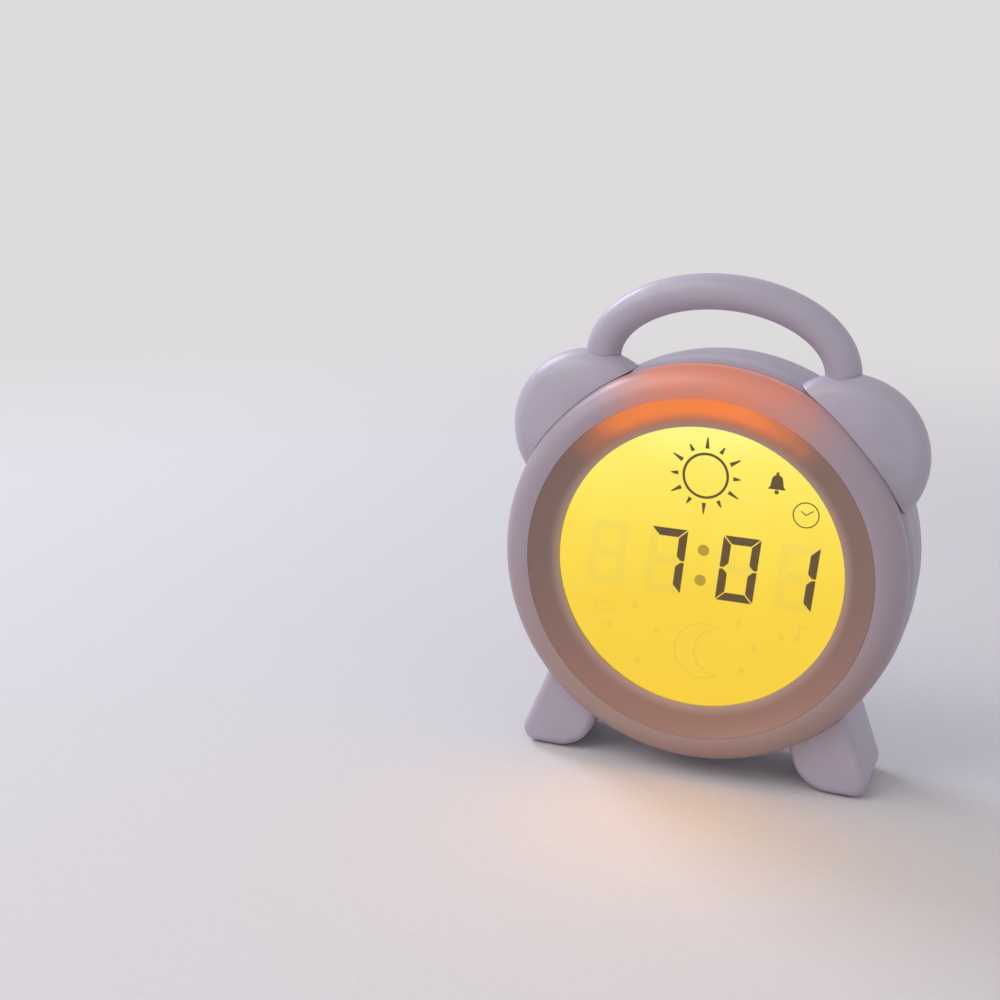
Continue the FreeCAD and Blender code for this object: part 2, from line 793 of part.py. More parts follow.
def foot_form(label, inset, floor, rounds):
    outer = f"(foot_toe - {inset} / cos(foot_splay))"
    inner = f"(foot_toe - foot_width + {inset} / cos(foot_splay))"
    bottom = f"(sole_proud + {floor} - axis_height)"
    top = "(0 - foot_top)"
    body = padded(label, [
        (foot_x(outer, bottom), bottom),
        (foot_x(outer, top), top),
        (foot_x(inner, top), top),
        (foot_x(inner, bottom), bottom),
    ], f"foot_length - 2 * {inset}", "0", f"foot_front + {inset}", "0")
    for name, side in (("inner", inner), ("outer", outer)):
        corner = value(foot_x(side, bottom))
        rounded(body, f"{label}_{name}_round", f"foot_{name}_round - {inset}",
                lambda edge: is_along_depth(edge) and is_near(edge.BoundBox.XMin, corner)
                and is_near(edge.BoundBox.ZMin, value(bottom)))
    if rounds:
        rounded(body, f"{label}_edge_round", "foot_edge_round",
                lambda edge: is_near(edge.BoundBox.YLength, 0)
                and not is_near(edge.BoundBox.ZMin, value(top)))
    return body


foot_outer = foot_form("foot_outer", "0", "0", True)
foot_hollow = foot_form("foot_hollow", "foot_wall", "foot_floor", False)
foot_boss_length = "axis_height / sin(foot_bearing) - drum_rear_inner"
foot_bosses = [
    radial_rod(f"foot_boss_{i}", "side_boss", foot_boss_length, "drum_rear_inner", depth, bearing)
    for i, (bearing, depth) in enumerate(foot_spots[:2])
]
foot_pilots = [
    radial_rod(f"foot_pilot_{i}", "case_shank + screw_fit", "side_screw_length + screw_fit",
               "side_head_end", depth, bearing)
    for i, (bearing, depth) in enumerate(foot_spots[:2])
]
sole_recess = centred_box("sole_recess", "foot_toe - sole_inset", "foot_front + sole_margin - screw_fit",
                          "(sole_thick + screw_fit) / 2 - axis_height", "sole_width + 2 * screw_fit",
                          "foot_length - 2 * sole_margin + 2 * screw_fit", "sole_thick + screw_fit")
foot_fittings = common("foot_fittings", fused("foot_boss_pair", foot_bosses), foot_outer)
foot_solid = fused("foot_solid", [cut("foot_shell", foot_outer, [foot_hollow]), foot_fittings])
right_foot = keep(cut("right_foot", foot_solid, [case_room, sole_recess] + foot_pilots))
left_foot = keep(mirrored("left_foot", right_foot))
right_sole = keep(centred_box("right_sole", "foot_toe - sole_inset", "foot_front + sole_margin",
                              "sole_thick / 2 - axis_height", "sole_width",
                              "foot_length - 2 * sole_margin", "sole_thick"))
left_sole = keep(mirrored("left_sole", right_sole))

# Battery tray, cells, contacts and springs
tray_tall = "(tray_top - tray_bottom)"
tray_middle = "(tray_top + tray_bottom) / 2"
tray_block = centred_box("tray_block", "0", "tray_floor - tray_wall", tray_middle,
                         "2 * tray_half + 2 * tray_wall", "tray_rim - tray_floor + tray_wall",
                         f"{tray_tall} + 2 * tray_wall")
tray_room = centred_box("tray_room", "0", "tray_floor", tray_middle, "2 * tray_half",
                        "tray_rim - tray_floor", tray_tall)
battery_tray = keep(cut("battery_tray", tray_block, [tray_room]))

plates = []
springs = []
for index, (name, sign) in enumerate((("upper", 1), ("middle", -1), ("lower", 1))):
    rise = f"tray_top - tray_slack - ({index} + 0.5) * cell_pitch"
    bearing = "0" if sign > 0 else "180"
    tail = f"{sign} * (tray_half - contact_thick - contact_fit - cell_length)"
    can_length = "cell_length - nub_length"
    can = slanted_rod(f"cell_can_{name}", "cell_radius", can_length, tail, "cell_depth", rise, bearing)
    nub = slanted_rod(f"cell_nub_{name}", "nub_radius", "nub_length",
                      f"{tail} + {sign} * ({can_length})", "cell_depth", rise, bearing)
    keep(fused(f"battery_{name}", [can, nub]))
    for end in (1, -1):
        plates.append(centred_box(f"contact_{name}_{end}", f"{end} * (tray_half - contact_thick / 2)",
                                  "cell_depth - contact_side / 2", rise, "contact_thick",
                                  "contact_side", "contact_side"))
    spring = doc.addObject("Part::Cone", f"spring_{name}")
    bind(spring, Radius1="spring_foot", Radius2="spring_tip", Height="spring_length")
    spring.Placement.Rotation = FreeCAD.Rotation(Vector(0, 1, 0), 90 * sign)
    place(spring, f"{-sign} * (tray_half - contact_thick)", "cell_depth", rise)
    springs.append(spring)
battery_contacts = keep(group("battery_contacts", plates))
battery_springs = keep(group("battery_springs", springs))

# Battery door: a plate with a round lower edge on two hinge pins
door_plate = box("door_plate", "0 - door_half", "rear_inner", "hinge_rise", "2 * door_half", "rear_wall",
                 "door_top - hinge_rise")
door_edge = slanted_rod("door_edge", "rear_wall / 2", "2 * door_half", "0 - door_half", "hinge_depth",
                        "hinge_rise", "0")
door_pins = slanted_rod("door_pins", "hinge_pin", "2 * (door_half + hinge_pin_length)",
                        "0 - door_half - hinge_pin_length", "hinge_depth", "hinge_rise", "0")
battery_door = keep(fused("battery_door", [door_plate, door_edge, door_pins]))

# Rear cover
cover_skin = turned("cover_skin", [
    ("0", "rear_inner"),
    ("0", "rear_face"),
    ("rear_flat", "rear_face"),
    ("rear_radius", "rear_round_depth", "rear_flat + rear_round * cos(45)",
     "rear_round_depth + rear_round * sin(45)"),
    ("rear_radius", "drum_rear"),
    ("cover_lip_radius", "drum_rear"),
    ("cover_lip_radius", "drum_rear - cover_lip"),
    ("cover_lip_inner", "drum_rear - cover_lip"),
    ("cover_lip_inner",
     "rear_round_depth + sqrt(rear_inner_round ^ 2 - (cover_lip_inner - rear_flat) ^ 2)"),
    ("rear_flat", "rear_inner", "rear_flat + rear_inner_round * cos(65)",
     "rear_round_depth + rear_inner_round * sin(65)"),
])
cover_bosses = [
    rod(f"cover_boss_{i}", "cover_boss", "rear_inner - pillar_top", x, "pillar_top", rise)
    for i, (x, rise) in enumerate(pillar_spots)
]
post_spots = [
    (x, rise)
    for x in ("main_board_left + post_inset", "main_board_right - post_inset")
    for rise in ("main_board_low + post_inset", "main_board_high - post_inset")
]
posts = [
    rod(f"board_post_{i}", "post_radius", "rear_inner - main_board_rear", x, "main_board_rear", rise)
    for i, (x, rise) in enumerate(post_spots)
]
speaker_collar = cut("speaker_collar", rod(
    "collar_block", "speaker_radius + screw_fit + collar_wall", "collar_height", "speaker_x",
    "rear_inner - collar_height", "speaker_rise"), [rod(
        "collar_bore", "speaker_radius + screw_fit", "collar_height", "speaker_x",
        "rear_inner - collar_height", "speaker_rise")])
cover_openings = [
    box("door_opening", "0 - door_half - door_gap", "rear_inner",
        "hinge_rise - rear_wall / 2 - door_gap", "2 * (door_half + door_gap)", "rear_wall",
        "door_top - hinge_rise + rear_wall / 2 + 2 * door_gap"),
    slanted_rod("hinge_bore", "hinge_pin + hinge_fit", "2 * (door_half + hinge_pin_length + door_gap)",
                "0 - door_half - hinge_pin_length - door_gap", "hinge_depth", "hinge_rise", "0"),
    centred_box("knob_slot", "switch_x", "rear_inner", "switch_rise",
                "knob_length + 2 * knob_travel + 2 * knob_fit", "rear_wall",
                "knob_width + 2 * knob_fit"),
]
for i, (x, rise) in enumerate(pillar_spots):
    cover_openings.append(rod(f"cover_hole_{i}", "case_shank + screw_fit", "cover_screw_seat", x,
                              "pillar_top", rise))
    cover_openings.append(rod(f"cover_head_well_{i}", "case_head + 3 * screw_fit",
                              "rear_face - cover_seat", x, "cover_seat", rise))
for i, (x, rise) in enumerate(post_spots):
    cover_openings.append(rod(f"post_pilot_{i}", "small_shank + screw_fit", "board_screw_length", x,
                              "main_board_rear", rise))

button_spots = [
    ("plus", "button_left", "button_high"),
    ("minus", "button_left + button_pitch", "button_high"),
    ("alarm", "button_left + 2 * button_pitch", "button_high"),
    ("set", "button_left", "button_high - button_row"),
    ("light", "button_left + button_pitch", "button_high - button_row"),
]
for name, x, rise in button_spots:
    cover_openings.append(rod(f"{name}_button_hole", "button_radius + button_fit", "rear_wall", x,
                              "rear_inner", rise))

grille_spots = [("0", "0")]
for ring, holes in ((1, 6), (2, 12)):
    for index in range(holes):
        turn = 360 * index / holes
        reach = f"{ring} * grille_pitch"
        grille_spots.append((f"{reach} * cos({turn})", f"{reach} * sin({turn})"))
for i, (x, rise) in enumerate(grille_spots):
    cover_openings.append(rod(f"grille_hole_{i}", "grille_hole", "rear_wall", f"speaker_x + {x}",
                              "rear_inner", f"speaker_rise + {rise}"))
cover_solid = fused("cover_solid", [cover_skin, speaker_collar] + cover_bosses + posts)
rear_cover = keep(cut("rear_cover", cover_solid, cover_openings))
rear_cover_screws = keep(group("rear_cover_screws", [
    screw(f"cover_screw_{i}", "case_shank", "cover_screw_length", "case_head", "case_head_height",
          x, "cover_seat", rise)
    for i, (x, rise) in enumerate(pillar_spots)
]))

# Main board, its screws and chip
main_plate = box("main_plate", "main_board_left", "main_board_depth", "main_board_low",
                 "main_board_right - main_board_left", "board_thick", "main_board_high - main_board_low")
main_board = keep(cut("main_board", main_plate, [
    rod(f"main_board_hole_{i}", "small_shank + screw_fit", "board_thick", x, "main_board_depth", rise)
    for i, (x, rise) in enumerate(post_spots)
]))
main_board_screws = keep(group("main_board_screws", [
    screw(f"main_board_screw_{i}", "small_shank", "board_screw_length", "small_head",
          "small_head_height", x, "main_board_depth", rise, forward=False)
    for i, (x, rise) in enumerate(post_spots)
]))
clock_chip = keep(centred_box("clock_chip", "button_left + button_pitch / 2",
                              "main_board_depth - chip_height", "button_high - button_row / 2",
                              "chip_side", "chip_height", "chip_side"))

# Push buttons, the plungers that they press and the key switches on the board
key_bodies = []
for name, x, rise in button_spots:
    keep(turned(f"{name}_button", [
        ("0", "plunger_top"),
        ("button_stem", "plunger_top"),
        ("button_stem", "button_neck - button_flange_thick"),
        ("button_flange", "button_neck - button_flange_thick"),
        ("button_flange", "button_neck"),
        ("button_radius", "button_neck"),
        ("button_radius", "button_top - button_round"),
        ("button_radius - button_round", "button_top", "button_radius - button_round * (1 - cos(45))",
         "button_top - button_round * (1 - sin(45))"),
        ("0", "button_top"),
    ], x, "0", rise))
    keep(rod(f"{name}_plunger", "plunger_radius", "plunger_proud + plunger_sunk", x,
             "key_top - plunger_sunk", rise))
    key_block = centred_box(f"{name}_key_block", x, "main_board_rear", rise, "key_side", "key_height",
                            "key_side")
    key_well = rod(f"{name}_key_well", "plunger_radius + screw_fit",
                   "plunger_sunk + button_travel + button_fit", x,
                   "key_top - plunger_sunk - button_travel - button_fit", rise)
    key_bodies.append(cut(f"{name}_key", key_block, [key_well]))
key_switches = keep(group("key_switches", key_bodies))

# Slide switch and its knob
switch_block = centred_box("switch_block", "switch_x", "main_board_rear", "switch_rise", "switch_length",
                           "switch_height", "switch_width")
switch_groove = centred_box("switch_groove", "switch_x", "switch_top - lever_sunk - knob_fit", "switch_rise",
                            "knob_length / 2 + 2 * knob_travel + 2 * knob_fit", "lever_sunk + knob_fit",
                            "lever_thick + 2 * knob_fit")
slide_switch = keep(cut("slide_switch", switch_block, [switch_groove]))
knob_flange_depth = "rear_inner - knob_fit - knob_flange"
switch_knob = keep(fused("switch_knob", [
    centred_box("knob_head", "switch_x", "rear_inner - knob_fit", "switch_rise", "knob_length",
                "rear_wall + knob_fit + knob_proud", "knob_width"),
    centred_box("knob_plate", "switch_x", knob_flange_depth, "switch_rise",
                "knob_length + 4 * knob_travel", "knob_flange", "knob_width + 2 * knob_flange"),
    centred_box("knob_lever", "switch_x", "switch_top - lever_sunk", "switch_rise", "knob_length / 2",
                f"{knob_flange_depth} - switch_top + lever_sunk", "lever_thick"),
]))

# Speaker that faces the grille
speaker_frame = keep(turned("speaker_frame", [
    ("speaker_radius", "speaker_depth"),
    ("speaker_radius", "speaker_depth - speaker_flange"),
    ("speaker_can", "speaker_depth - speaker_flange"),
    ("speaker_can", "0"),
    ("0", "0"),
    ("0", "speaker_wall"),
    ("speaker_can - speaker_wall", "speaker_wall"),
    ("speaker_can - speaker_wall", "speaker_depth"),
], "speaker_x", "speaker_back", "speaker_rise"))
speaker_magnet = keep(rod("speaker_magnet", "magnet_radius", "magnet_height", "speaker_x",
                          "speaker_back - magnet_height", "speaker_rise"))
cone_rim = "(speaker_can - speaker_wall - cone_gap)"
cone_top = "(speaker_depth - cone_gap)"
speaker_cone = keep(turned("speaker_cone", [
    ("0", "speaker_wall"),
    (f"{cone_rim} / 3", "speaker_wall"),
    (cone_rim, f"{cone_top} - cone_thick"),
    (cone_rim, cone_top),
    (f"{cone_rim} / 3", "speaker_wall + 2 * cone_thick"),
    ("0", "speaker_wall + 4 * cone_thick"),
], "speaker_x", "speaker_back", "speaker_rise"))

# Ribbon between the two boards, with its sockets
socket_front = centred_box("socket_front", "ribbon_x", "seat_depth", "ribbon_rise",
                           "ribbon_width + 2 * ribbon_thick", "socket_height", "socket_thick")
socket_rear = centred_box("socket_rear", "ribbon_x", "main_board_depth - socket_height", "ribbon_rise",
                          "ribbon_width + 2 * ribbon_thick", "socket_height", "socket_thick")
ribbon_sockets = keep(group("ribbon_sockets", [socket_front, socket_rear]))
ribbon_cable = keep(centred_box("ribbon_cable", "ribbon_x", "seat_depth + socket_height", "ribbon_rise",
                                "ribbon_width", "main_board_depth - seat_depth - 2 * socket_height",
                                "ribbon_thick"))


# Wires: straight runs with one bend


def bent_wire(start, corner, end):
    """Tube along two runs that meet in an arc; points are rules for x, depth and rise."""
    points = [Vector(value(x), value(f"display_y + {depth}"), value(f"axis_height + {rise}"))
              for x, depth, rise in (start, corner, end)]
    first = (points[0] - points[1]).normalize()
    second = (points[2] - points[1]).normalize()
    bend = value("wire_bend")
    arc_start = points[1] + first * bend
    arc_end = points[1] + second * bend
    middle = points[1] + (first + second) * bend - (first + second).normalize() * bend
    path = Part.Wire([
        Part.LineSegment(points[0], arc_start).toShape(),
        Part.Arc(arc_start, middle, arc_end).toShape(),
        Part.LineSegment(arc_end, points[2]).toShape(),
    ])
    ring = Part.Wire([Part.Circle(points[0], first, value("wire_radius")).toShape()])
    return path.makePipeShell([ring], True, False)


def wire_pair(label, shapes):
    item = doc.addObject("Part::Feature", label)
    item.Shape = Part.makeCompound(shapes)
    return keep(item)


wire_pair("battery_wires", [
    bent_wire((x, "battery_wire_depth", "tray_top + tray_wall"),
              (x, "battery_wire_depth", "battery_wire_rise"),
              (x, "main_board_depth", "battery_wire_rise"))
    for x in ("battery_wire_x / 2", "battery_wire_x / 2 + wire_pitch")
])
wire_pair("speaker_wires", [
    bent_wire(("speaker_wire_x", "main_board_rear", rise), ("speaker_wire_x", "speaker_wire_depth", rise),
              ("speaker_x - speaker_can - screw_fit", "speaker_wire_depth", rise))
    for rise in ("speaker_rise - wire_pitch / 2", "speaker_rise + wire_pitch / 2")
])

# Check and write each sub-part
doc.recompute()
for item in doc.Objects:
    if "Invalid" in item.State or "Error" in item.State:
        raise RuntimeError(f"{item.Label} failed: {item.State}")
os.makedirs("parts", exist_ok=True)
for item in nodes:
    shape = item.Shape
    if shape.isNull() or not shape.isValid() or shape.Volume <= 0:
        raise RuntimeError(f"{item.Label} has no valid solid")
    shape.exportStep(f"parts/{item.Label}.step")
    room = shape.BoundBox
    print(f"{item.Label}: {len(shape.Solids)} solids, {shape.Volume:.1f} mm3, "
          f"x {room.XMin:.2f} {room.XMax:.2f}, y {room.YMin:.2f} {room.YMax:.2f}, "
          f"z {room.ZMin:.2f} {room.ZMax:.2f}")
print(len(nodes), "sub-parts")
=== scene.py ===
import math

import bmesh
import bpy
from bpy.props import FloatProperty, FloatVectorProperty, IntProperty, PointerProperty
from mathutils import Matrix, Vector


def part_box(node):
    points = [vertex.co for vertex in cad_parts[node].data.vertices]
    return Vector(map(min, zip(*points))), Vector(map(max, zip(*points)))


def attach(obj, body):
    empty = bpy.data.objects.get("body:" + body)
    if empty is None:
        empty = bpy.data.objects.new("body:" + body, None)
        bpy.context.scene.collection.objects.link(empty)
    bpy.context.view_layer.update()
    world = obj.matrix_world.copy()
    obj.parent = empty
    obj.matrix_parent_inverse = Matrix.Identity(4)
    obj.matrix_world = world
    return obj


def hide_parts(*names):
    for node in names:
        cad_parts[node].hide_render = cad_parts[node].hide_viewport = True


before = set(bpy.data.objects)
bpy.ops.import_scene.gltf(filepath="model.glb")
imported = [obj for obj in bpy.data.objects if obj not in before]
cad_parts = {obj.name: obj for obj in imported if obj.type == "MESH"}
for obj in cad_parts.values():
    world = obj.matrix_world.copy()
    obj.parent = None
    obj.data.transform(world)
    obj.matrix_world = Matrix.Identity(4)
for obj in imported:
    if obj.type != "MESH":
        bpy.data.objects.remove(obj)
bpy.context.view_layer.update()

# Looks of a round alarm clock for a child's room: a lit amber display inside a milky rim that
# glows, two bells, a carry handle and two splayed feet in satin lilac plastic, and the keys, the
# battery door and the speaker grille at the back.

bl_info = {
    "name": "Lit alarm clock",
    "version": (1, 0, 0),
    "blender": (4, 5, 0),
    "location": "3D View > Sidebar > Alarm clock",
    "description": "Finishes, display marks, rear details and stage of a lit alarm clock",
    "category": "Object",
}

# Places and sizes from the frame, in metres, with x across, y from front to back and z up
MM = 0.001
RIM_LOW, RIM_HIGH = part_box("bezel_ring")
CENTRE = (RIM_LOW + RIM_HIGH) / 2
RIM_RADIUS = (RIM_HIGH.x - RIM_LOW.x) / 2
LCD_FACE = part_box("lcd_panel")[0].y

# Display marks: plates this thick, this far in front of the display's face
MARK_GAP = 0.04 * MM
MARK_DEPTH = 0.03 * MM

# Raised marks and ridges of the keys and the knob start this far inside them
MARK_ROOT = 0.02 * MM

# Camera: its turn to the right of the front, its angle above the floor and its roll, its place
# in metres, and its sensor's width in millimetres
CAMERA_TURN = math.radians(19.94)
CAMERA_RISE = math.radians(16.34)
CAMERA_ROLL = math.radians(1.67)
CAMERA_PLACE = (0.1240, -0.5637, 0.2615)
SENSOR_WIDTH = 36.0

# Light: the lamps face the middle of the clock, and the sky gives a soft light from all sides
LAMP_TARGET = Vector((0.0, 0.0, 0.09))
SKY_STRENGTH = 0.52


# Colour


def linear(text):
    """Turn a written #RRGGBB colour into Blender's linear values."""
    shares = [int(text[i:i + 2], 16) / 255 for i in (1, 3, 5)]
    return tuple(
        s / 12.92 if s <= 0.04045 else ((s + 0.055) / 1.055) ** 2.4 for s in shares
    ) + (1.0,)


def toned(colour, times):
    """Colour at this many times its light."""
    return tuple(c * times for c in colour[:3]) + (1.0,)


def colour_property(name, description, text):
    """Colour that a user may pick, shown as it is written."""
    return FloatVectorProperty(name=name, description=description, subtype="COLOR", size=4,
                               min=0.0, max=1.0, default=linear(text))


# Properties


class ClockCaseSettings(bpy.types.PropertyGroup):
    """Plastic of the bells, handle, feet, drum and rear cover"""

    plastic: colour_property("Plastic", "Satin plastic of the case", "#B3AABA")
    button: colour_property("Buttons", "Plastic of the keys at the back", "#8F8796")
    mark: colour_property("Marks", "Raised marks on the keys", "#EDE8F0")
    roughness: FloatProperty(name="Roughness", description="Gloss of the case plastic",
                             default=0.42, min=0.05, max=1.0, subtype="FACTOR")


class ClockRimSettings(bpy.types.PropertyGroup):
    """Milky rim that glows round the display"""

    milk: colour_property("Milky plastic", "Rim where little light reaches it", "#A396A2")
    glow: colour_property("Glow", "Rim above the night light", "#C8775D")
    ember: colour_property("Inner glow", "Brightest band beside the joint line", "#EE7E36")
    strength: FloatProperty(name="Glow strength", description="Light that the rim gives off",
                            default=0.38, min=0.0, max=4.0)


class ClockDisplaySettings(bpy.types.PropertyGroup):
    """Amber display and its marks"""

    amber: colour_property("Amber", "Display behind the digits", "#F1CF3A")
    ink: colour_property("Segments", "Dark segments of the time", "#543B06")
    colon: colour_property("Colon", "Two half-dark dots of the colon", "#B0920F")
    faint: FloatProperty(name="Unlit marks", description="Light of the marks that are switched off",
                         default=0.955, min=0.0, max=1.0, subtype="FACTOR")
    strength: FloatProperty(name="Backlight", description="Brightness of the display", default=1.0,
                            min=0.0, max=4.0)
    digit_height: FloatProperty(name="Digit height", description="Height of one digit",
                                default=23.3 * MM, min=5 * MM, max=40 * MM, unit="LENGTH")
    digit_width: FloatProperty(name="Digit width", description="Width of one digit",
                               default=13.0 * MM, min=3 * MM, max=25 * MM, unit="LENGTH")
    segment: FloatProperty(name="Segment width", description="Width of one segment",
                           default=2.9 * MM, min=0.5 * MM, max=6 * MM, unit="LENGTH")
    slant: FloatProperty(name="Slant", description="Lean of the digits to the right",
                         default=math.radians(4.4), min=0.0, max=0.5, subtype="ANGLE")
    hours: IntProperty(name="Hours", description="Hours shown", default=7, min=0, max=9)
    minutes: IntProperty(name="Minutes", description="Minutes shown", default=1, min=0, max=59)


class ClockStageSettings(bpy.types.PropertyGroup):
    """Floor, lamps and camera"""

    floor: colour_property("Floor", "Plain pale floor", "#D9D6D8")
    backdrop: colour_property("Backdrop", "Background behind the floor", "#DEDBDD")
    key: FloatProperty(name="Key lamp", description="Power of the large soft lamp",
                       default=13.0, min=0.0, max=500.0, unit="POWER")
    fill: FloatProperty(name="Fill lamp", description="Power of the lamp on the far side",
                        default=1.6, min=0.0, max=500.0, unit="POWER")
    rim: FloatProperty(name="Rim lamp", description="Power of the lamp behind and above",
                       default=11.0, min=0.0, max=500.0, unit="POWER")
    display_glow: FloatProperty(name="Display light", unit="POWER",
                                description="Light of the display on the floor",
                                default=0.035, min=0.0, max=10.0)
    lens: FloatProperty(name="Lens", description="Focal length of the camera", default=61.2,
                        min=10.0, max=200.0, unit="CAMERA")


# Finishes


def add(tree, kind, *inputs, out=None, stops=(), **settings):
    """Add one shader node and return its named output, or its first open one.

    Settings are its options, or its sockets by name. Inputs fill its open sockets in order.
    A socket takes a value or another node's output. Stops are a ramp's (place, colour) pairs.
    """
    node = tree.nodes.new("ShaderNode" + kind)
    sockets = []
    for name, content in settings.items():
        if hasattr(node, name):
            setattr(node, name, content)
        else:
            sockets.append((node.inputs[name.replace("_", " ")], content))
    sockets += zip([socket for socket in node.inputs if socket.enabled], inputs)
    for socket, content in sockets:
        if isinstance(content, bpy.types.NodeSocket):
            tree.links.new(content, socket)
        else:
            socket.default_value = content
    for index, (place, colour) in enumerate(stops):
        band = node.color_ramp.elements
        element = band[index] if index < 2 else band.new(place)
        element.position = place
        element.color = colour
    if out:
        return node.outputs[out]
    return next(socket for socket in node.outputs if socket.enabled)


def new_finish(name, **settings):
    """Start a material; returns it, its tree, its shader and the place in the object's frame.

    Settings are the shader's sockets that have one value all over.
    """
    material = bpy.data.materials.new(name)
    material.use_nodes = True
    tree = material.node_tree
    shader = tree.nodes["Principled BSDF"]
    for socket, content in settings.items():
        shader.inputs[socket.replace("_", " ")].default_value = content
    return material, tree, shader, add(tree, "TexCoord", out="Object")


def moulded_plastic(name, colour, roughness, grain=0.35, depth=0.012, coat=0.0):
    """Moulded plastic: grain of a spark-eroded tool, faint flow marks and uneven gloss.

    Grain and depth are millimetres. A grain under 0.3 mm is too fine to show, so every grain
    given here is 0.3 mm or more.
    """
    flow, patch = 18.0 * MM, 6.0 * MM
    darkest, palest = toned(colour, 0.94), toned(colour, 1.03)
    material, tree, shader, place = new_finish(name, IOR=1.52, Coat_Weight=coat, Coat_Roughness=0.3)
    cloud = add(tree, "TexNoise", place, Scale=1 / flow, Detail=3.0)
    cloud = add(tree, "MapRange", cloud, 0.3, 0.7, interpolation_type="SMOOTHSTEP")
    tint = add(tree, "ValToRGB", cloud, stops=[(0.0, darkest), (1.0, palest)])
    tree.links.new(tint, shader.inputs["Base Color"])
    gloss = add(tree, "TexNoise", place, Scale=1 / patch, Detail=4.0)
    gloss = add(tree, "MapRange", gloss, 0.25, 0.75, roughness - 0.04, roughness + 0.04)
    tree.links.new(gloss, shader.inputs["Roughness"])
    pits = add(tree, "TexNoise", place, Scale=1 / (grain * MM))
    tree.links.new(add(tree, "Bump", 0.5, depth * MM, Height=pits), shader.inputs["Normal"])
    return material


def plated_steel(name, colour, roughness):
    """Plated steel: bright, with fine drawn lines and a little grime in patches."""
    line, line_depth, grime_size = 0.6 * MM, 0.006 * MM, 3.0 * MM
    material, tree, shader, place = new_finish(name, Metallic=1.0)
    stretched = add(tree, "Mapping", place, Scale=(1.0, 1.0, 9.0))
    lines = add(tree, "TexNoise", stretched, Scale=1 / line, Detail=4.0)
    grime = add(tree, "TexNoise", place, Scale=1 / grime_size, Detail=3.0)
    tint = add(tree, "ValToRGB", grime, stops=[(0.35, toned(colour, 0.82)), (0.7, colour)])
    tree.links.new(tint, shader.inputs["Base Color"])
    rough = add(tree, "MapRange", lines, 0.3, 0.7, roughness - 0.06, roughness + 0.1)
    tree.links.new(rough, shader.inputs["Roughness"])
    tree.links.new(add(tree, "Bump", 0.4, line_depth, Height=lines), shader.inputs["Normal"])
    return material


def seen_rays(tree):
    """1 for the rays that show the background: straight, mirrored or through glass."""
    path = add(tree, "LightPath").node.outputs
    seen = add(tree, "Math", path["Is Camera Ray"], path["Is Glossy Ray"], operation="MAXIMUM")
    return add(tree, "Math", seen, path["Is Transmission Ray"], operation="MAXIMUM")


def wear(node, material):
    """Give a CAD node its material in every slot."""
    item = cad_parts[node]
    if not item.material_slots:
        item.data.materials.append(material)
    for slot in item.material_slots:
        slot.material = material


# Mesh helpers: outlines are lists of (x, height) in metres


def circle(x, height, radius, count, start=0.0, turn=math.tau):
    """Circle, or the part of one from an angle over a turn."""
    steps = count if abs(turn) >= math.tau else count + 1
    angles = [start + turn * i / count for i in range(steps)]
    return [(x + radius * math.cos(a), height + radius * math.sin(a)) for a in angles]


def in_mm(*points):
    """Turn places in millimetres into metres."""
    return [(x * MM, height * MM) for x, height in points]


def box_outline(x, height, half_width, half_height):
    """Upright rectangle round its middle."""
    return [(x - half_width, height - half_height), (x + half_width, height - half_height),
            (x + half_width, height + half_height), (x - half_width, height + half_height)]


def softened(corners, radius, steps=3):
    """Outline with each corner rounded."""
    points = []
    for index, corner in enumerate(corners):
        here = Vector(corner)
        before = Vector(corners[index - 1]) - here
        after = Vector(corners[(index + 1) % len(corners)]) - here
        reach = min(radius, before.length * 0.45, after.length * 0.45)
        first = here + before.normalized() * reach
        last = here + after.normalized() * reach
        for step in range(steps + 1):
            t = step / steps
            points.append(tuple(first * (1 - t) ** 2 + here * 2 * t * (1 - t) + last * t ** 2))
    return points


def stroked(points, width, closed=False):
    """Strips of four corners that follow a line at a constant width."""
    count = len(points)
    sides = []
    for index, point in enumerate(points):
        here = Vector(point)
        runs = []
        if closed or index:
            runs.append((here - Vector(points[index - 1])).normalized())
        if closed or index < count - 1:
            runs.append((Vector(points[(index + 1) % count]) - here).normalized())
        along = sum(runs, Vector((0, 0))).normalized()
        across = Vector((-along.y, along.x))
        spread = width / 2 / max(0.4, across.dot(Vector((-runs[0].y, runs[0].x))))
        sides.append((here + across * spread, here - across * spread))
    strips = []
    for i in range(count if closed else count - 1):
        (left, right), (next_left, next_right) = sides[i], sides[(i + 1) % count]
        strips.append([tuple(left), tuple(next_left), tuple(next_right), tuple(right)])
    return strips


def add_slab(shape, outline, front, back):
    """Add a flat plate of an outline between two depths."""
    rings = []
    for depth in (front, back):
        rings.append([shape.verts.new((x, depth, height)) for x, height in outline])
    shape.faces.new(rings[0])
    shape.faces.new(list(reversed(rings[1])))
    count = len(outline)
    for i in range(count):
        after = (i + 1) % count
        shape.faces.new((rings[0][i], rings[1][i], rings[1][after], rings[0][after]))


def add_turned(shape, profile, centre):
    """Add a body turned about an axis along the depth; profile holds (radius, depth)."""
    count = 40
    rings = []
    for radius, depth in profile:
        points = circle(*centre, radius, count) if radius else [centre]
        rings.append([shape.verts.new((x, depth, height)) for x, height in points])
    for first, second in zip(rings, rings[1:]):
        for i in range(count):
            after = (i + 1) % count
            face = [first[i % len(first)], second[i % len(second)], second[after % len(second)],
                    first[after % len(first)]]
            unique = list(dict.fromkeys(face))
            if len(unique) > 2:
                shape.faces.new(unique)


